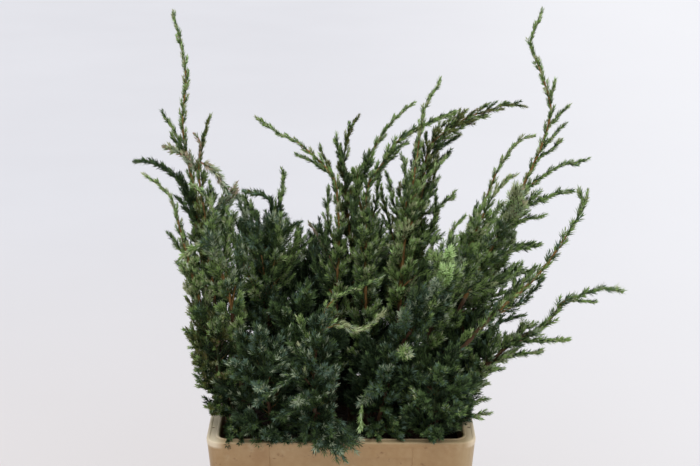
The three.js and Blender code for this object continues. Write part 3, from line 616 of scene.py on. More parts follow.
# The crown's parts: the whips and bushes whose needles are joined into one piece.
PARTS = {
    "left": ["left_leader", "left_second", "left_outer", "front_left", "left_mid"],
    "centre": ["centre_left", "centre", "centre_right", "arch", "arch_left", "upright"],
    "right": ["right_leader", "right_back", "right_inner", "right_diagonal", "right_low", "right_high"],
    "front": ["front_spray", "front_right", "bush_front_left", "bush_front_right", "bush_left"],
    "middle": ["bush_centre", "bush_middle", "bush_middle_right", "bush_right", "bush_right_back",
               "bush_left_back"],
    "back": ["back_left", "back_mid", "back_right", "back_far_right", "bush_back", "bush_back_left",
             "bush_back_right"],
}


def unit(v):
    return v / np.linalg.norm(v, axis=-1, keepdims=True)


# The numbers that the source makes its own repeatable ones with.
HASH = (12.9898, 78.233, 43758.5453)


def chance(a, b):
    """A repeatable number from 0 to 1 for two whole numbers, as in the source."""
    s = math.sin(a * HASH[0] + b * HASH[1]) * HASH[2]
    return s - math.floor(s)


def between(pair, share):
    return pair[0] + (pair[1] - pair[0]) * share


# How many steps a line has from one of its points to the next, and how near to Y a direction
# has to be to count as along it.
LINE_STEPS = 40
ALONG_Y = 0.8


class Limb:
    """A smooth line through points, read at shares of its length."""

    def __init__(self, points):
        p = np.array(points, float) * MM
        p = np.vstack([2 * p[0] - p[1], p, 2 * p[-1] - p[-2]])
        t = np.linspace(0, 1, LINE_STEPS, endpoint=False)[:, None]
        runs = []
        for i in range(1, len(p) - 2):
            a, b, c, d = p[i - 1 : i + 3]
            runs.append(
                b + 0.5 * (c - a) * t
                + (a - 2.5 * b + 2 * c - 0.5 * d) * t**2
                + (1.5 * b - 1.5 * c + 0.5 * d - 0.5 * a) * t**3
            )
        self.points = np.vstack([*runs, p[-2]])
        steps = np.linalg.norm(np.diff(self.points, axis=0), axis=1)
        self.at = np.concatenate([[0], np.cumsum(steps)])
        self.length = self.at[-1]
        self.at /= self.length
        self.ways = unit(np.gradient(self.points, self.at, axis=0))

    def point(self, share):
        return np.stack([np.interp(share, self.at, self.points[:, k]) for k in range(3)], -1)

    def way(self, share):
        return unit(np.stack([np.interp(share, self.at, self.ways[:, k]) for k in range(3)], -1))

    def share_at_height(self, height):
        return self.at[int(np.argmax(self.points[:, 2] >= height * MM))]


def sides_of(way):
    """Two directions square to each other and to each of the given ways."""
    way = np.atleast_2d(way)
    across = np.where(np.abs(way[:, 1:2]) > ALONG_Y, [[1.0, 0, 0]], [[0, 1.0, 0]])
    first = unit(across - way * np.sum(across * way, 1, keepdims=True))
    return first, np.cross(first, way)


def sideways(way, azimuth, angle):
    """The direction of growth that leaves a limb at an angle, turned round it by azimuth."""
    first, second = (s[0] for s in sides_of(way))
    out = math.cos(azimuth) * first + math.sin(azimuth) * second
    return math.cos(angle) * way + math.sin(angle) * out


def leaving(limb, share, azimuth, angle, rise):
    """Where growth leaves a limb, its way out, and the pull that then turns it up."""
    along = limb.way(share)
    return limb.point(share), sideways(along, azimuth, angle), unit(along + rise * UP)


def towards(way, pull, share):
    """The bend that turns a direction some of the way to another."""
    return share * (pull - way * np.dot(pull, way))


# Growth. A spray is a twig with its side shoots. Each of them is one axis: a bent line with
# needles all round it. The axes of a part are kept as rows until its meshes are made.

AXIS = np.dtype([
    ("root", float, 3), ("way", float, 3), ("bend", float, 3), ("length", float),
    ("radius", float), ("clad", float), ("needle", float), ("lift", float), ("gap", float),
    ("tones", int), ("light", float),
])

# The tones of needles, each with its darker and its lighter shade.
# The deep tone is the needles' dark green, made darker still as painted shade for the low and inner
# foliage that has most of it.
SHADES = {
    "deep": ("2a3a25", "394f31"), "mid": ("52693f", "6c8752"), "blue": ("577260", "768f7b"),
    "silver": ("98a889", "bfcbab"), "fresh": ("83a05a", "a5c078"), "lime": ("b2d688", "dcf4b6"),
    "pale": ("a9b283", "ccd2a7"), "olive": ("5d6433", "7c8046"), "dry": ("a89a82", "cbb9a0"),
    "brown": ("5b4630", "7c6040"),
}
TONES = list(SHADES)
# How many hundredths of each tone a mix has, in the tones' order.
MIXES = {
    # The shade mix is painted shade: near-black green for foliage deep in the crown and in its hollows.
    "shade": (86, 10, 1, 0, 0, 0, 0, 3, 0, 0),
    "dark": (44, 35, 5, 3, 5, 0, 2, 6, 0, 0),
    "green": (7, 33, 2, 9, 30, 0, 14, 5, 0, 0),
    "soft": (4, 20, 8, 14, 32, 0, 20, 2, 0, 0),
    "whip": (0, 12, 2, 10, 38, 7, 31, 0, 0, 0),
    "blue": (48, 24, 15, 8, 1, 0, 2, 2, 0, 0),
    "frost": (6, 20, 26, 36, 8, 0, 4, 0, 0, 0),
    "silver": (0, 0, 2, 34, 0, 14, 50, 0, 0, 0),
    "light": (0, 20, 5, 14, 30, 6, 25, 0, 0, 0),
    "fresh": (2, 8, 0, 8, 40, 10, 32, 0, 0, 0),
    "bright": (0, 0, 0, 12, 12, 64, 12, 0, 0, 0),
    "pale": (0, 12, 3, 14, 14, 3, 54, 0, 0, 0),
    "tipped": (34, 34, 8, 8, 6, 0, 8, 2, 0, 0),
    "brown": (13, 23, 0, 4, 14, 0, 8, 29, 3, 6),
    "faded": (0, 8, 10, 46, 2, 0, 10, 0, 24, 0),
    "dry": (0, 5, 5, 36, 2, 0, 0, 4, 46, 2),
}
MIX_NAMES = list(MIXES)
# How far the needles of each mix stand open, from close-set to feathery.
OPENNESS = {"blue": 0.6, "frost": 0.9, "silver": 0.7, "soft": 0.55, "light": 0.2, "bright": 0.4,
            "shade": 0.5, "dark": 0.35, "green": 0.25, "tipped": 0.35, "pale": 0.0}
CLOSE_SET = 0.12
# Each spray draws towards one part of its mix, and each needle a little to either side.
OF_SPRAY = 0.72
OF_NEEDLE = 0.28
# From this share of a shoot on, needles may be young: how many of them, how often they have
# their second tone, and for each mix the chance that a shoot has them, and both tones.
YOUNG_FROM = 0.70
YOUNG_CHANCE = 0.85
SECOND_YOUNG = 0.4
YOUNG_TONES = {
    "shade": (0.10, "mid", "mid"), "dark": (0.5, "mid", "blue"),
    "green": (0.45, "fresh", "silver"), "soft": (0.40, "fresh", "silver"),
    "whip": (0.55, "fresh", "pale"), "blue": (0.42, "blue", "silver"),
    "frost": (0.3, "silver", "silver"), "silver": (0.3, "silver", "dry"),
    "light": (0.4, "fresh", "lime"), "fresh": (0.5, "pale", "fresh"),
    "bright": (0.3, "lime", "pale"), "pale": (0.5, "pale", "lime"),
    "tipped": (0.55, "silver", "pale"), "brown": (0.3, "olive", "fresh"),
    "dry": (0.2, "silver", "dry"), "faded": (0.4, "dry", "silver"),
}
# Up to this share of a shoot they may be old, and then have this tone.
OLD_TO = 0.34
OLD_CHANCE = 0.45
OLD_TONES = {"shade": "deep", "dark": "deep", "green": "deep", "soft": "mid", "blue": "deep",
             "tipped": "deep", "brown": "deep", "fresh": "mid", "whip": "mid", "bright": "fresh"}


def blocked(p):
    """True if a point is in the soil or in the pot's wall, or nearly."""
    x, y, z = abs(p[0]) / MM, abs(p[1]) / MM, p[2] / MM
    half, deep = POT_WIDTH / 2, POT_DEPTH / 2
    if z < SOIL_TOP + CLEAR["soil"] and x < half and y < deep:
        return True
    inner = x < half - RIM_WIDTH - CLEAR["inside"] and y < deep - RIM_WIDTH - CLEAR["inside"]
    outer = x > half + CLEAR["outside"] or y > deep + CLEAR["outside"]
    return z < POT_HEIGHT + CLEAR["outside"] and not inner and not outer


def add_axis(rows, root, way, bend, length, radius, clad, needle, lift, gap, tones, light):
    rows.append((root, way, bend, length, radius, clad, needle, lift, gap, MIX_NAMES.index(tones),
                 light))


def stance(tones, openness):
    """How open the needles of a mix stand, with their length and lift."""
    openness = OPENNESS.get(tones, CLOSE_SET) if openness is None else openness
    return openness, (NEEDLE + OPEN_NEEDLE * openness) * MM, LIFT + OPEN_LIFT * openness


def grow_shoot(rows, root, way, pull, length, tones, light, openness=None, stout=1.0):
    """One shoot, thick with needles, that leaves along way and turns towards pull."""
    way = unit(way)
    bend = towards(way, pull, SHOOT_BEND)
    if blocked(root + (way + bend) * length):
        return
    openness, needle, lift = stance(tones, openness)
    axis_length = max(length - PAST_END["shoot"] * needle, SHORTEST_SHOOT * MM)
    add_axis(rows, root, way, bend, axis_length, SHOOT_CORE * MM * stout, SHOOT_BARE, needle * stout,
             lift, SHOOT_GAP * MM, tones, light)


def grow_spray(rows, root, way, pull, length, tones, bare=SPRAY_BARE):
    """A twig that bends towards pull, with side shoots along it."""
    way = unit(way)
    bend = towards(way, pull, SPRAY_BEND)
    part = way * PARTWAY + bend * PARTWAY**2
    if blocked(root + (way + bend) * length) or blocked(root + part * length):
        return
    openness, needle, lift = stance(tones, None)
    light = float(draw.random())
    axis_length = length - PAST_END["spray"] * needle
    gap = (SHADE_GAP if tones == "shade" else SPRAY_GAP) * MM
    add_axis(rows, root, way, bend, axis_length, SPRAY_CORE * MM, bare, needle, lift, gap, tones, light)
    shoots = int((length * (1 - bare) - SPRAY_END * MM) / (SIDE_EVERY * MM))
    turn = draw.uniform(0, 2 * math.pi)
    for k in range(shoots):
        t = bare + SIDE_FROM + (SIDE_TO - bare) * (k + draw.uniform(*SIDE_PLACE)) / shoots
        from_here = root + way * axis_length * t + bend * axis_length * t * t
        along = unit(way + 2 * bend * t)
        out = sideways(along, turn + k * GOLDEN_ANGLE, draw.uniform(*SIDE_LEAN))
        side = (SIDE_LENGTH["tip"] + SIDE_LENGTH["foot"] * (1 - t)) * length
        side = side * draw.uniform(*SIDE_LENGTH["uneven"]) + SIDE_LENGTH["least"] * MM
        side = min(max(side, SHORTEST_SIDE * MM), LONGEST_SIDE * MM)
        grow_shoot(rows, from_here, out, along, side, tones, light, openness)


def clad_limb(rows, limb, a, b, tones, stout=1.0):
    """Needles straight on a limb's own bark, in short runs along it."""
    runs = max(1, int(limb.length * (b - a) / (BARK_RUN * MM)))
    edges = np.linspace(a, b, runs + 1)
    for low, high in zip(edges[:-1], edges[1:]):
        root, end = limb.point(low), limb.point(high)
        run = end - root
        span = float(np.linalg.norm(run))
        add_axis(rows, root, run / span, np.zeros(3), span, 0.0, 0.0, BARK_NEEDLE * MM * stout,
                 BARK_LIFT, SHOOT_GAP * MM, tones, BARK_LIGHT)


def set_shoots(rows, limb, foot, habit, tones, seed):
    """Single shoots along a limb from its tip down, longer and closer together lower down."""
    stout = STOUT.get(habit, 1.0)
    spacing, grown, lean = HABITS[habit]
    clad = CLAD[habit] * MM / limb.length
    low = max(foot, 1 - clad, NO_NEEDLES)
    clad_limb(rows, limb, low, 1 - END_BARE * MM / limb.length, tones, stout)
    at = limb.length - END_SHOOT * MM
    k = 0
    while at > limb.length * foot:
        down = min(1.0, (limb.length - at) / (FULL_DEPTH * MM))
        angle = between(lean, down) + LEAN_UNEVEN * chance(seed, k)
        start = leaving(limb, at / limb.length, k * GOLDEN_ANGLE + seed, angle, RISE["whip"])
        length = (between(grown, down) + SHOOT_UNEVEN * (chance(seed, k + 90) - 0.5)) * MM
        if length > LONGEST_SHOOT * MM:
            grow_spray(rows, *start, length, tones)
        else:
            grow_shoot(rows, *start, length, tones, float(draw.random()), stout=stout)
        at -= between(spacing, down) * between(SPACING_UNEVEN, chance(seed, k + 30)) * MM
        k += 1


def grow_plume(rows, limb, a, b, reach, plume_at, seed, tones):
    """Sprays between two shares of a limb, from the tip down, as in the source."""
    count = max(1, round(limb.length * (b - a) / (PLUME_SPACING * MM)))
    for i in range(count):
        down = (i + 0.5) / count
        share = b - (b - a) * down
        angle = between((LEAN["tip"], LEAN["foot"]), down) + LEAN["spread"] * chance(seed, i)
        turn = (i // FAN) * GOLDEN_ANGLE + (i % FAN - 1) * FAN_SPREAD
        start = leaving(limb, share, turn + seed, angle, RISE["spray"])
        core = CORE_SHARE * plume_at(share)
        grown = TIP_SPRAY + (reach - TIP_SPRAY) * down**PLUME_SHAPE
        grown += PLUME_UNEVEN * (chance(seed, i + 50) - 0.5)
        length = grown * MM + core
        bare = PLUME_BARE["least"] + PLUME_BARE["in_core"] * core / length
        grow_spray(rows, *start, length, tones, bare)


def grow_whip(rows, name, seed):
    """All the growth of one whip and of its laterals. Gives its lines for the wood."""
    (foot, *bends), foliage, (end_tones, end_habit), *laterals = WHIPS[name]
    low, high, reach, core, tones = foliage
    limb = Limb([(*foot, SOIL_TOP - SUNK), *bends])
    start, end = limb.share_at_height(low), limb.share_at_height(high)

    def plume_at(share):
        along = CORE_FOOT + (1 - CORE_FOOT) * (share - start) / (end - start)
        return core * MM * math.sin(math.pi * along**CORE_SHAPE)

    set_shoots(rows, limb, end, end_habit, end_tones, seed)
    grow_plume(rows, limb, start, end, reach, plume_at, seed + 3, tones)
    wood = [(limb, STEM_RADIUS * THICKER.get(name, 1), start, "living")]
    for n, (height, line, *kind) in enumerate(laterals):
        tones, habit, bare = (*kind, *PLAIN_LATERAL[len(kind):])
        side = Limb([limb.point(limb.share_at_height(height)) / MM, *line])
        set_shoots(rows, side, bare, habit, tones, seed + 7 * (n + 1))
        bark = "dry" if habit == "fluffy" or tones == "dry" else "living"
        wood.append((side, SIDE_WHIP_RADIUS, 0.0, bark))
    return limb, wood


def grow_bush(rows, name, seed):
    """A bush's boughs, all from its one stem. Each ends in a rounded lobe of twigs."""
    middle, core, tones = BUSHES[name]
    middle, core = np.array(middle, float), np.array(core, float)
    foot = (middle[0] * BUSH_FOOT[0], middle[1] * BUSH_FOOT[1], SOIL_TOP - SUNK)
    crown = middle + (0, 0, BUSH_STEM_TOP * core[2])
    stem = Limb([foot, middle, crown])
    wood = [(stem, BUSH_STEM_RADIUS, BUSH_STEM_ENTRY, "living")]
    # Inner twigs in the shade mix: painted shade inside the bush.
    for i in range(INNER_TWIGS):
        share = INNER_FROM + INNER_RUN * i / INNER_TWIGS
        start = leaving(stem, share, i * GOLDEN_ANGLE + seed, INNER_LEAN, RISE["spray"])
        grow_spray(rows, *start, INNER_TWIG * MM, "shade", INNER_BARE)
    for i in range(LOBES):
        up = between(BUSH_SPAN, (i + 0.5) / LOBES)
        azimuth = i * GOLDEN_ANGLE + seed
        flat = math.sqrt(1 - up * up)
        ray = np.array([flat * math.cos(azimuth), flat * math.sin(azimuth), up])
        surface = middle + ray * core
        out = LOBE_OUT + LOBE_UNEVEN * (chance(seed, i) - 0.5)
        goal = surface + unit(ray + (0, 0, BUSH_RISE)) * out
        side_limit = FOOT_HALF - LOBE_TWIG * FOOT_KEEP
        side_limit += FOOT_SPREAD * max(0, goal[2] - POT_HEIGHT)
        goal[0] = min(max(goal[0], -side_limit), side_limit)
        while blocked(goal * MM):
            goal[2] += LOBE_STEP_UP
        height = max(surface[2] - BOUGH_DROP, SOIL_TOP + BOUGH_CLEAR["soil"])
        height = min(height, crown[2] - BOUGH_CLEAR["top"])
        root = stem.point(stem.share_at_height(height)) / MM
        bough = Limb([root, root * 0.5 + goal * 0.5 - (0, 0, BOUGH_SAG), goal])
        wood.append((bough, LOBE_BOUGH_RADIUS, 0.0, "living"))
        for k in range(LOBE_TWIGS):
            share = LOBE_TWIGS_FROM + (1 - LOBE_TWIGS_FROM) * (k + 0.5) / LOBE_TWIGS
            lean = between(LOBE_LEAN, share)
            start = leaving(bough, share, k * GOLDEN_ANGLE + seed + i, lean, RISE["spray"])
            length = (LOBE_TWIG + LOBE_TWIG_UNEVEN * (chance(seed + i, k) - 0.5)) * MM
            grow_spray(rows, *start, length, tones, LOBE_BARE)
    return stem, wood


def grow_tuft(rows, limb, height, middle, spread, count, tones, seed):
    """A cluster of short feathery sprays on one twig that leaves a limb."""
    root = limb.point(limb.share_at_height(height))
    middle = np.array(middle, float) * MM
    side = Limb([root / MM, (root * 0.5 + middle * 0.5) / MM, middle / MM])
    for i in range(count):
        share = TUFT_FROM + TUFT_RUN * (i + 0.5) / count
        lean = TUFT_LEAN["foot"] - TUFT_LEAN["less"] * share
        start = leaving(side, share, i * GOLDEN_ANGLE + seed, lean, RISE["tuft"])
        length = spread * (TUFT_LENGTH["least"] + TUFT_LENGTH["uneven"] * chance(seed, i)) * MM
        grow_shoot(rows, *start, length, tones, float(draw.random()), TUFT_OPENNESS.get(tones))
    clad_limb(rows, side, TUFT_CLAD, 1.0, tones)
    return [(side, SIDE_WHIP_RADIUS, 0.0, "living")]


# Meshes made from arrays, for the many thousands of needles and twigs.

def add_piece(name, mesh, materials):
    for material in materials:
        mesh.materials.append(material)
    piece = bpy.data.objects.new(name, mesh)
    bpy.context.scene.collection.objects.link(piece)
    return piece


def mesh_piece(name, points, faces, tones, materials):
    mesh = bpy.data.meshes.new(name)
    mesh.vertices.add(len(points))
    mesh.vertices.foreach_set("co", points.astype(np.float32).ravel())
    mesh.loops.add(faces.size)
    mesh.loops.foreach_set("vertex_index", faces.astype(np.int32).ravel())
    mesh.polygons.add(len(faces))
    mesh.polygons.foreach_set("loop_start", np.arange(0, faces.size, 3, dtype=np.int32))
    mesh.polygons.foreach_set("material_index", tones.astype(np.int32))
    mesh.update(calc_edges=True)
    return add_piece(name, mesh, materials)


def tones_of(axes, row, share):
    """The tone of each needle, by its axis and its share of it: its spray's, or a young or old one."""
    n = len(row)
    mix = axes["tones"][row]
    steps = np.cumsum(list(MIXES.values()), 1)
    steps = steps / steps[:, -1:]
    pick = np.clip(OF_SPRAY * axes["light"][row] + OF_NEEDLE * draw.random(n), 0, 0.9999)
    tone = (pick[:, None] > steps[mix]).sum(1)
    young = [YOUNG_TONES[name] for name in MIX_NAMES]
    odds = np.array([y[0] for y in young])[mix]
    pair = np.array([[TONES.index(y[1]), TONES.index(y[2])] for y in young])[mix]
    of_shoot = draw.random((len(axes), 2))[row]
    is_young = (share > YOUNG_FROM) & (of_shoot[:, 0] < odds) & (draw.random(n) < YOUNG_CHANCE)
    tone = np.where(is_young, pair[np.arange(n), (of_shoot[:, 1] < SECOND_YOUNG).astype(int)], tone)
    old = [TONES.index(OLD_TONES[name]) if name in OLD_TONES else -1 for name in MIX_NAMES]
    old = np.array(old)[mix]
    is_old = (share < OLD_TO) & (old >= 0) & (draw.random(n) < OLD_CHANCE)
    return np.where(is_old, old, tone)


def needles_of(axes):
    """Four corners and two faces for each needle: a blade folded along its keel."""
    whorls = np.maximum(2, np.ceil(axes["length"] * (1 - axes["clad"]) / axes["gap"])).astype(int)
    count = whorls * WHORL
    row = np.repeat(np.arange(len(axes)), count)
    k = np.arange(count.sum()) - np.repeat(np.cumsum(count) - count, count)
    n = len(k)
    a = axes[row]
    whorl, leaf = k // WHORL, k % WHORL
    share = (whorl + draw.uniform(*VARY["place"], n)) / whorls[row]
    t = a["clad"] + (1 - a["clad"]) * share
    spine = a["root"] + (a["way"] * t[:, None] + a["bend"] * (t**2)[:, None]) * a["length"][:, None]
    along = unit(a["way"] + 2 * a["bend"] * t[:, None])
    first, second = sides_of(along)
    turn = leaf * (2 * math.pi / WHORL) + whorl * (math.pi / WHORL)
    turn = turn + draw.normal(0, VARY["turn"], n) + row
    out = np.cos(turn)[:, None] * first + np.sin(turn)[:, None] * second
    tip_ward = share**3
    lift = a["lift"] * (1 - END_LESS_LIFT * tip_ward) * draw.uniform(*VARY["lift"], n)
    size = a["needle"] * draw.uniform(*VARY["size"], n) * (1 - END_SHORTER * tip_ward)
    way = np.cos(lift)[:, None] * along + np.sin(lift)[:, None] * out
    across = unit(np.cross(along, out))
    inwards = unit(np.cross(across, way))
    slim = np.interp(a["lift"], NEEDLE_SLIM[0], NEEDLE_SLIM[1])
    wide = slim * size * draw.uniform(*VARY["wide"], n)
    base = spine + out * OFF_MIDDLE * MM
    belly = base + way * (WIDEST * size)[:, None] - inwards * (BULGE * size)[:, None]
    end = base + way * size[:, None] + inwards * (CURL * size)[:, None]
    left = belly + across * wide[:, None] + inwards * (FOLD * wide)[:, None]
    right = belly - across * wide[:, None] + inwards * (FOLD * wide)[:, None]
    points = np.stack([base, left, end, right], 1).reshape(-1, 3)
    corner = 4 * np.arange(n)[:, None]
    faces = np.stack([corner + [0, 2, 1], corner + [0, 3, 2]], 1).reshape(-1, 3)
    return points, faces, np.repeat(tones_of(axes, row, share), 2)


def twigs_of(axes):
    """A thin pointed stem along each axis, brown where it is bare and green among its needles."""
    sides = TWIG_SIDES
    axes = axes[axes["radius"] > 0]
    n = len(axes)
    woody = axes["clad"] > WOODY
    rings = []
    for j, t in enumerate((0, TWIG_RING)):
        centre = axes["root"] + (axes["way"] * t + axes["bend"] * t * t) * axes["length"][:, None]
        first, second = sides_of(unit(axes["way"] + 2 * axes["bend"] * t))
        thicker = np.where(woody, THICKENS["woody"], THICKENS["green"])
        radius = (axes["radius"] * (1 + j * thicker))[:, None]
        for s in range(sides):
            angle = 2 * math.pi * s / sides
            rings.append(centre + radius * (math.cos(angle) * first + math.sin(angle) * second))
    rings.append(axes["root"] + (axes["way"] + axes["bend"]) * axes["length"][:, None])
    points = np.stack(rings, 1).reshape(-1, 3)
    tip = 2 * sides
    faces = []
    for a in range(sides):
        b = (a + 1) % sides
        faces += [(a, b, b + sides), (a, b + sides, a + sides)]
    faces += [(sides + a, sides + (a + 1) % sides, tip) for a in range(sides)]
    faces.append((2, 1, 0))
    faces = (np.array(faces)[None] + (tip + 1) * np.arange(n)[:, None, None]).reshape(-1, 3)
    return points, faces, np.repeat(woody.astype(int), len(faces) // n)


# Wood with the bark's relief.

def stem_tube(bm, limb, foot_radius, entry, bark, phase):
    """One limb as a closed tube, wrapped from a grid. Its bark runs in flaky ridges along it."""
    thick = foot_radius > THICK
    entry_radius = ENTRY_RADIUS * max(1, foot_radius / STEM_RADIUS)
    sides, ring = THICK_CUT if thick else THIN_CUT
    rings = max(6, int(limb.length / (ring * MM)))
    grid = bmesh.ops.create_grid(bm, x_segments=rings, y_segments=sides, size=0.5)
    for f in {f for v in grid["verts"] for f in v.link_faces}:
        share = f.calc_center_median().x + 0.5
        wander = noise.noise(Vector((phase, share * BARK_EDGE["along"], 0)))
        height = limb.point(share)[2] / MM + BARK_EDGE["wander"] * wander
        green = limb.length * (1 - share) < GREEN_END * MM
        f.material_index = 3 if bark == "dry" else 2 if green else (0 if height < OLD_BARK_TOP else 1)
    for v in grid["verts"]:
        share, round_it = v.co.x + 0.5, v.co.y + 0.5
        centre, way = limb.point(share), limb.way(share)
        first, second = (s[0] for s in sides_of(way))
        if thick and share < entry:
            radius = between((foot_radius, entry_radius), share / entry)
        elif thick:
            radius = between((entry_radius, WHIP_TIP_RADIUS), (share - entry) / (1 - entry))
        else:
            radius = between((foot_radius, WHIP_TIP_RADIUS), share)
        angle = 2 * math.pi * (round_it % 1.0)
        place = Vector((RIDGES["round"] * math.cos(angle), RIDGES["round"] * math.sin(angle),
                        share * limb.length * RIDGES["along"]))
        ridge = noise.noise(place + Vector((phase, 0, 0)))
        knuckle = noise.noise(Vector((phase, share * limb.length * KNUCKLES["along"], 0)))
        radius *= MM * (1 + RIDGES["deep"] * ridge + KNUCKLES["deep"] * knuckle)
        v.co = centre + radius * (math.cos(angle) * first + math.sin(angle) * second)
    bmesh.ops.remove_doubles(bm, verts=grid["verts"], dist=MERGED * MM)


def finish_mesh(bm, name, materials, smooth=True):
    bmesh.ops.recalc_face_normals(bm, faces=bm.faces)
    mesh = bpy.data.meshes.new(name)
    bm.to_mesh(mesh)
    bm.free()
    mesh.polygons.foreach_set("use_smooth", [smooth] * len(mesh.polygons))
    return add_piece(name, mesh, materials)


# Materials

# How much roughness varies, how deep the grain is in millimetres, how full a drift of colour
# gets, and over how many millimetres of height it starts.
UNEVEN_GLOSS = 0.08
RELIEF = 0.6
DRIFT = 0.85
DRIFT_EDGE = 4


def linear(code):
    """A base colour from its six-digit code."""
    parts = [int(code[i : i + 2], 16) / 255 for i in (0, 2, 4)]
    return (*[c / 12.92 if c < 0.04045 else ((c + 0.055) / 1.055) ** 2.4 for c in parts], 1)


def add_node(tree, kind, inputs, **settings):
    """A new node. Each input that is named gets a constant, or a link from a socket."""
    node = tree.nodes.new("ShaderNode" + kind)
    for setting, value in settings.items():
        setattr(node, setting, value)
    for label, value in inputs.items():
        if isinstance(value, bpy.types.NodeSocket):
            tree.links.new(value, node.inputs[label])
        else:
            node.inputs[label].default_value = value
    return node


def laid_over(tree, share, colour, code):
    """A colour that turns to that of the code where the share is full."""
    inputs = {"Factor": share, "A": colour, "B": linear(code)}
    return add_node(tree, "Mix", inputs, data_type="RGBA").outputs["Result"]


def new_group(name, inputs):
    """A shader node group with the given inputs and one output, a mask."""
    group = bpy.data.node_groups.new(name, "ShaderNodeTree")
    group.interface.new_socket("Vector", in_out="INPUT", socket_type="NodeSocketVector")
    for label, value in inputs.items():
        socket = group.interface.new_socket(label, in_out="INPUT", socket_type="NodeSocketFloat")
        socket.default_value = value
    group.interface.new_socket("Mask", in_out="OUTPUT", socket_type="NodeSocketFloat")
    outside = group.nodes.new("NodeGroupOutput")
    return group, group.nodes.new("NodeGroupInput").outputs, outside.inputs["Mask"]


def noise_in(group, inside, scale, detail):
    inputs = {"Vector": inside["Vector"], "Scale": inside[scale], "Detail": detail}
    return add_node(group, "TexNoise", inputs).outputs["Fac"]


def grain_group():
    """Cloudy and fine variation over a surface."""
    group, inside, mask = new_group("grain", {"Broad": 30, "Fine": 600, "Balance": 0.5})
    inputs = {"Factor": inside["Balance"], "A": noise_in(group, inside, "Broad", 3),
              "B": noise_in(group, inside, "Fine", 3)}
    mix = add_node(group, "Mix", inputs, data_type="FLOAT").outputs["Result"]
    spread = add_node(group, "MapRange", {"Value": mix, "From Min": 0.34, "From Max": 0.66})
    group.links.new(spread.outputs["Result"], mask)
    return group


def stain_group():
    """Blotches with soft edges: none where the noise is under From, full where it is over To."""
    group, inside, mask = new_group("stain", {"Scale": 10, "From": 0.55, "To": 0.7})
    blotches = noise_in(group, inside, "Scale", 5)
    inputs = {"Value": blotches, "From Min": inside["From"], "From Max": inside["To"]}
    group.links.new(add_node(group, "MapRange", inputs).outputs["Result"], mask)
    return group


GRAIN = grain_group()
STAIN = stain_group()


def surface(name, dark, light, broad, fine, balance, rough, bump=0.0, stretch=(1, 1, 1),
            specular=0.4, stains=()):
    """A material whose colour wanders between two near shades, with a grain that also bumps.
    Each stain is a colour, a scale of blotches, where they start and are full, and a stretch."""
    material = bpy.data.materials.new(name)
    material.use_nodes = True
    tree = material.node_tree
    shader = tree.nodes["Principled BSDF"].inputs
    place = add_node(tree, "TexCoord", {}).outputs["Object"]

    def mask(group, scale, **inputs):
        inputs["Vector"] = add_node(tree, "Mapping", {"Vector": place, "Scale": scale}).outputs["Vector"]
        return add_node(tree, "Group", inputs, node_tree=group).outputs["Mask"]

    grain = mask(GRAIN, stretch, Broad=broad, Fine=fine, Balance=balance)
    colour = laid_over(tree, grain, linear(dark), light)
    for code, scale, start, full, stain_stretch in stains:
        stain = mask(STAIN, stain_stretch, Scale=scale, From=start, To=full)
        colour = laid_over(tree, stain, colour, code)
    tree.links.new(colour, shader["Base Color"])
    inputs = {"Value": grain, "To Min": rough - UNEVEN_GLOSS, "To Max": rough + UNEVEN_GLOSS}
    tree.links.new(add_node(tree, "MapRange", inputs).outputs["Result"], shader["Roughness"])
    shader["Specular IOR Level"].default_value = specular
    if bump:
        relief = add_node(tree, "Bump", {"Height": grain, "Strength": bump, "Distance": RELIEF * MM})
        tree.links.new(relief.outputs["Normal"], shader["Normal"])
    return material


def add_drifts(material, drifts):
    """Colours that a material turns to along an axis, from a near place to a far one, and only
    above a height where one is given."""
    tree = material.node_tree
    base = tree.nodes["Principled BSDF"].inputs["Base Color"]
    colour = base.links[0].from_socket
    place = add_node(tree, "TexCoord", {}).outputs["Object"]
    parts = add_node(tree, "SeparateXYZ", {"Vector": place}).outputs
    for axis, near, far, code, *above in drifts:
        inputs = {"Value": parts[axis], "From Min": near, "From Max": far, "To Max": DRIFT}
        share = add_node(tree, "MapRange", inputs, interpolation_type="SMOOTHSTEP").outputs["Result"]
        for foot in above:
            inputs = {"Value": parts["Z"], "From Min": foot, "From Max": foot + DRIFT_EDGE * MM}
            step = add_node(tree, "MapRange", inputs).outputs["Result"]
            share = add_node(tree, "Math", {0: share, 1: step}, operation="MULTIPLY").outputs["Value"]
        colour = laid_over(tree, share, colour, code)
    tree.links.new(colour, base)


NEEDLES = [surface(f"needle_{tone}", *SHADES[tone], 24, 420, 0.5, 0.5, specular=0.3)
           for tone in TONES]
GREEN_STEM = surface("green_stem", "36482a", "566a38", 40, 500, 0.5, 0.6)
TWIG_BARK = surface("twig_bark", "5e4a28", "866c3c", 60, 500, 0.5, 0.7, 0.3, (3, 3, 1))
YOUNG_BARK = surface("young_bark", "7d5a30", "b0864e", 60, 500, 0.5, 0.65, 0.4, (3, 3, 1))
OLD_BARK = surface("old_bark", "432e1e", "6f5036", 60, 400, 0.5, 0.8, 0.7, (3, 3, 0.6),
                   stains=[("8a7a66", 45, 0.58, 0.7, (2, 2, 0.5))])
DRY_BARK = surface("dry_bark", "a0735a", "c89c82", 60, 500, 0.5, 0.7, 0.3, (3, 3, 1))
POT_PLASTIC = surface(
    "pot_plastic", "b08d60", "c0a178", 7, 120, 0.35, 0.42, 0.1,
    stains=[("a27a50", 11, 0.50, 0.70, (1, 1, 1)), ("8d6844", 95, 0.62, 0.74, (1, 1, 1)),
            ("cdb590", 30, 0.60, 0.78, (1, 1, 1))],
)
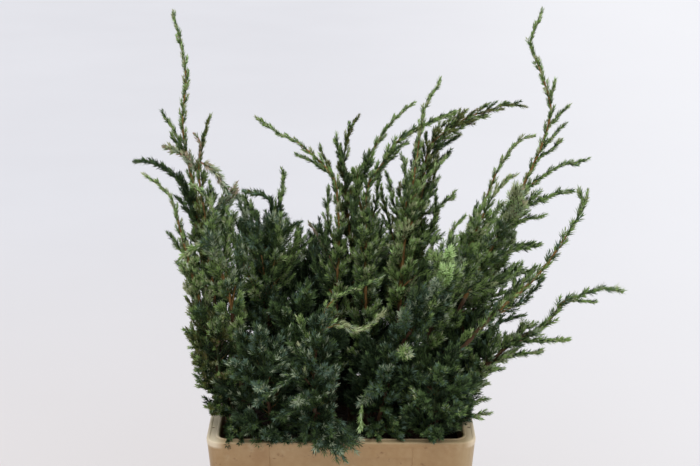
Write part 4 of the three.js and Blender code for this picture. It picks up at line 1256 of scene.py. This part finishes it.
# The rim's top is paler, partly as wear and partly as a painted highlight where light falls on it. The
# ends, and most of all the rim's ends, are painted highlights.
add_drifts(POT_PLASTIC, (("X", -0.184, -0.196, "cbb38b"), ("X", 0.150, 0.194, "c9b087"),
                         ("Z", 0.2570, 0.2597, "cbb48c"), ("X", -0.166, -0.184, "ffefd0", 0.249),
                         ("X", 0.176, 0.190, "f8e5c4", 0.249)))
SOIL = surface("soil", "1d130c", "3b2819", 60, 500, 0.6, 0.92, 0.8)


# Grow the crown.

rows = {part: [] for part in PARTS}
wood = {part: [] for part in PARTS}
part_of = {name: part for part, names in PARTS.items() for name in names}
limbs = {}
for first_seed, grow, names in ((1, grow_whip, WHIPS), (40, grow_bush, BUSHES)):
    for seed, name in enumerate(names, first_seed):
        limbs[name], lines = grow(rows[part_of[name]], name, seed)
        wood[part_of[name]] += lines
for seed, (name, *tuft) in enumerate(TUFTS, 70):
    wood[part_of[name]] += grow_tuft(rows[part_of[name]], limbs[name], *tuft, seed)

for part, names in PARTS.items():
    axes = np.array(rows[part], dtype=AXIS)
    whips = [n for n in names if n in WHIPS]
    masses = [f"foliage_{n}" if n in WHIPS else n for n in names]
    needles = mesh_piece(f"needles_{part}", *needles_of(axes), NEEDLES)
    twigs = mesh_piece(f"twigs_{part}", *twigs_of(axes), [GREEN_STEM, TWIG_BARK])
    bm = bmesh.new()
    for n, line in enumerate(wood[part]):
        stem_tube(bm, *line, 10 * n)
    bmesh.ops.holes_fill(bm, edges=bm.edges)
    stems = finish_mesh(bm, f"stems_{part}", [OLD_BARK, YOUNG_BARK, GREEN_STEM, DRY_BARK])
    for piece, slot in ((needles, "needles"), (twigs, "bark"), (stems, "bark")):
        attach(piece, "root")
        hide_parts(*masses)
    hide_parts(*[f"stem_{n}" for n in whips])


# Pot

def rounded_plan(bm, width, depth, radius, z):
    """A flat face with round corners."""
    made = bmesh.ops.create_grid(bm, x_segments=1, y_segments=1, size=0.5,
                                 matrix=Matrix.Translation((0, 0, z)))
    bmesh.ops.scale(bm, vec=(width, depth, 1), verts=made["verts"])
    bmesh.ops.bevel(bm, geom=made["verts"], offset=radius, segments=CORNER_STEPS, profile=0.5,
                    affect="VERTICES", material=-1)


def pot_rings():
    """The shell's rings, each a width, depth, corner radius and height, from its underside out,
    up and in again."""
    foot = (FOOT_WIDTH, FOOT_DEPTH)
    rim = (POT_WIDTH, POT_DEPTH)
    neck = tuple(s - 2 * (RIM_WIDTH - WALL) for s in rim)
    skirt_foot = tuple(s - 2 * SKIRT_DRAFT for s in rim)
    top, low, under = POT_HEIGHT, POT_HEIGHT - SKIRT_HEIGHT, POT_HEIGHT - WALL

    def tub(z, by=0.0):
        return (*[between((f, n), z / top) + 2 * by for f, n in zip(foot, neck)],
                TUB_CORNER + by, z)

    def skirt(z, by=0.0):
        return (*[between((f, r), (z - low) / SKIRT_HEIGHT) + 2 * by for f, r in zip(skirt_foot, rim)],
                CORNER + by, z)

    return [
        *[(foot[0] - by, foot[1] - by, corner, z) for by, corner, z in FOOT_EDGE],
        tub(FOOT_TOP), tub(OUTER_RING), tub(low), tub(under - RIM_ROUND["down"]),
        tub(under, RIM_ROUND["out"]), skirt(under, -WALL - RIM_ROUND["in"]),
        skirt(under - RIM_ROUND["down"], -WALL), skirt(low + EDGE, -WALL),
        skirt(low, -WALL + EDGE), skirt(low, -EDGE), skirt(low + EDGE),
        skirt(low + LOW_BAND), skirt(low + LOW_BAND + FIELD["slope"], -FIELD["deep"]),
        skirt(PANEL["foot"], -FIELD["deep"]), skirt(PANEL["top"], -FIELD["deep"]),
        skirt(top - HIGH_BAND, -FIELD["deep"]), skirt(top - HIGH_BAND + FIELD["slope"]),
        *[skirt(top - down, by) for down, by in RIM_OUTSIDE],
        *[tub(top - down, by) for down, by in RIM_INSIDE],
        tub(INNER_RING, -WALL), tub(FLOOR + FLOOR_ROUND["up"], -WALL),
        tub(FLOOR, -WALL - FLOOR_ROUND["in"]),
    ]


def next_ring(verts, was, now):
    """Moves a ring of corner points to its next size, corner radius and height."""
    for v in verts:
        for axis in (0, 1):
            past_corner = abs(v.co[axis]) - (was[axis] / 2 - was[2]) * MM
            size = (now[axis] / 2 - now[2]) * MM + past_corner * now[2] / was[2]
            v.co[axis] = math.copysign(size, v.co[axis])
        v.co.z = now[3] * MM


def split_faces(bm, faces, x):
    """Cuts faces by an upright plane and gives all the pieces."""
    edges = {e for f in faces for e in f.edges}
    verts = {v for f in faces for v in f.verts}
    made = bmesh.ops.bisect_plane(bm, geom=[*faces, *edges, *verts], plane_co=(x * MM, 0, 0),
                                  plane_no=(1, 0, 0))
    return [g for g in made["geom"] if isinstance(g, bmesh.types.BMFace)]


def press_skirt(bm, side):
    """The plain sunk panel on one long side of the skirt, and the fine moulding lines above it."""
    def on_side(low, high):
        outmost = (POT_DEPTH / 2 - LONG_SIDE["in"]) * MM
        return [f for f in bm.faces if side * f.calc_center_median().y > outmost
                and low * MM < f.calc_center_median().z < high * MM
                and side * f.normal.y > LONG_SIDE["facing"]]

    half = PANEL["half_width"]
    line = MOULDING["half_width"]
    bm.normal_update()
    faces = on_side(PANEL["foot"], PANEL["top"])
    for x in (-half, half):
        faces = split_faces(bm, faces, x)
    panel = [f for f in faces if abs(f.calc_center_median().x) < 1 * MM]
    bmesh.ops.inset_region(bm, faces=panel, thickness=PANEL["slope"] * MM, depth=-PANEL["deep"] * MM)
    faces = on_side(PANEL["top"], POT_HEIGHT - HIGH_BAND)
    for x in (-half - line, -half + line, half - line, half + line):
        faces = split_faces(bm, faces, x)
    lines = [f for f in faces if abs(abs(f.calc_center_median().x) - half * MM) < line * MM]
    bmesh.ops.inset_region(bm, faces=lines, thickness=MOULDING["slope"] * MM,
                           depth=-MOULDING["deep"] * MM)


def punch_rim(pot):
    """The four small round holes in the rim's ends."""
    bm = bmesh.new()
    radius = RIM_HOLE["radius"] * MM
    for x in (-RIM_HOLE["x"], RIM_HOLE["x"]):
        for y in (-RIM_HOLE["y"], RIM_HOLE["y"]):
            place = Matrix.Translation((x * MM, y * MM, POT_HEIGHT * MM))
            bmesh.ops.create_cone(bm, cap_ends=True, segments=RIM_HOLE["sides"], radius1=radius,
                                  radius2=radius, depth=RIM_HOLE["punch"] * MM, matrix=place)
    punch = finish_mesh(bm, "rim_punch", [POT_PLASTIC], smooth=False)
    cut = pot.modifiers.new("holes", "BOOLEAN")
    cut.operation = "DIFFERENCE"
    cut.solver = "EXACT"
    cut.object = punch
    punched = bpy.data.meshes.new_from_object(pot.evaluated_get(bpy.context.evaluated_depsgraph_get()))
    pot.modifiers.clear()
    pot.data = punched
    bpy.data.objects.remove(punch)


def pull_up(bm, edge):
    """Draws the open edge of a shell out to a new ring. Gives the new edges and points."""
    made = bmesh.ops.extrude_edge_only(bm, edges=edge)["geom"]
    verts = [g for g in made if isinstance(g, bmesh.types.BMVert)]
    edges = [g for g in made if isinstance(g, bmesh.types.BMEdge) and all(v in verts for v in g.verts)]
    return edges, verts


def make_pot():
    """One closed shell, drawn ring by ring."""
    rings = pot_rings()
    bm = bmesh.new()
    width, depth, corner, z = rings[0]
    rounded_plan(bm, width * MM, depth * MM, corner * MM, z * MM)
    edge = [e for e in bm.edges if e.is_boundary]
    for was, now in zip(rings, rings[1:]):
        edge, verts = pull_up(bm, edge)
        next_ring(verts, was, now)
    bmesh.ops.holes_fill(bm, edges=edge)
    bmesh.ops.recalc_face_normals(bm, faces=bm.faces)
    for side in (-1, 1):
        press_skirt(bm, side)
    pot = finish_mesh(bm, "pot_shell", [POT_PLASTIC], smooth=False)
    punch_rim(pot)
    return pot


def make_soil():
    """The potting soil: a lumpy top and closed sides, just inside the tub."""
    up = SOIL_TOP / POT_HEIGHT
    inside = 2 * (RIM_WIDTH - WALL)
    w, d = (foot + (rim - inside - foot) * up - 2 * (WALL + SOIL_GAP)
            for foot, rim in ((FOOT_WIDTH, POT_WIDTH), (FOOT_DEPTH, POT_DEPTH)))
    corner = TUB_CORNER - WALL
    bm = bmesh.new()
    bmesh.ops.create_grid(bm, x_segments=SOIL_CUT[0], y_segments=SOIL_CUT[1], size=0.5)
    for v in bm.verts:
        x, y = v.co.x * w, v.co.y * d
        dx, dy = abs(x) - (w / 2 - corner), abs(y) - (d / 2 - corner)
        if dx > 0 and dy > 0:
            pull = max(dx, dy) / math.hypot(dx, dy)
            x = math.copysign(w / 2 - corner + dx * pull, x)
            y = math.copysign(d / 2 - corner + dy * pull, y)
        lump = sum(high * noise.noise(Vector((x / wide, y / wide, at))) for high, wide, at in LUMPS)
        v.co = Vector((x, y, SOIL_TOP - SOIL_LOW + lump)) * MM
    _, verts = pull_up(bm, [e for e in bm.edges if e.is_boundary])
    for v in verts:
        v.co.z = SOIL_FOOT * MM
    bmesh.ops.scale(bm, vec=(*SOIL_DRAFT, 1), verts=verts)
    bmesh.ops.holes_fill(bm, edges=bm.edges)
    return finish_mesh(bm, "potting_soil", [SOIL], smooth=False)


pot = make_pot()
soil = make_soil()
for piece, node, slot in ((pot, "pot", "pot_plastic"), (soil, "soil", "soil")):
    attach(piece, "root")
    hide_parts(node)


# Stage: a pale floor, soft studio light, and the camera. The radius is in metres.

FLOOR_RADIUS = 30
FLOOR_DROP = 0.2


def make_floor():
    """A wide pale floor, just under the pot, warmer towards the front and painted brighter towards the
    right as a painted pool of light.
    """
    bm = bmesh.new()
    bmesh.ops.create_circle(bm, cap_ends=True, segments=96, radius=FLOOR_RADIUS)
    bmesh.ops.translate(bm, vec=(0, 0, -FLOOR_DROP * MM), verts=bm.verts)
    material = surface("pale_floor", "dbdbdf", "dfdfe3", 0.6, 3, 0.3, 0.9)
    # Painted light: the floor is painted brighter towards the right. It also turns warmer towards the
    # front.
    add_drifts(material, (("Y", 2.5, -1.0, "dfd8d4"), ("X", -0.4, 1.6, "f1f1f3")))
    floor = finish_mesh(bm, "floor", [material], smooth=False)


def soft_sun(name, come_from, wide, strength):
    """Even light from one side of the sky, as soft as a light box that looks this many degrees wide."""
    light = bpy.data.lights.new(name, "SUN")
    light.angle = math.radians(wide)
    light.energy = strength
    lamp = bpy.data.objects.new(name, light)
    lamp.rotation_mode = "QUATERNION"
    lamp.rotation_quaternion = Vector(come_from).to_track_quat("Z", "Y")
    bpy.context.scene.collection.objects.link(lamp)


make_floor()
soft_sun("top_light", (0.05, -0.05, 0.95), 55, 1.9)
world = bpy.data.worlds.new("studio")
bpy.context.scene.world = world
world.use_nodes = True
background = world.node_tree.nodes["Background"].inputs
background["Color"].default_value = linear("e6e7ec")
background["Strength"].default_value = 0.6

# The camera, in metres and degrees: about 2.6 m from the pot, looking down at it.
EYE = (0.0129, -2.54905, 1.23986)
TILT = math.radians(15.5)
FOCAL_PIXELS = 1800
FRAME_PIXELS = 700
SENSOR = 36
camera = bpy.data.cameras.new("camera")
camera.sensor_width = SENSOR
camera.lens = SENSOR * FOCAL_PIXELS / FRAME_PIXELS
camera.clip_end = 100
eye = bpy.data.objects.new("camera", camera)
eye.location = EYE
eye.rotation_euler = (math.pi / 2 - TILT, 0, 0)
bpy.context.scene.collection.objects.link(eye)
bpy.context.scene.camera = eye
bpy.context.scene.view_settings.view_transform = "Standard"
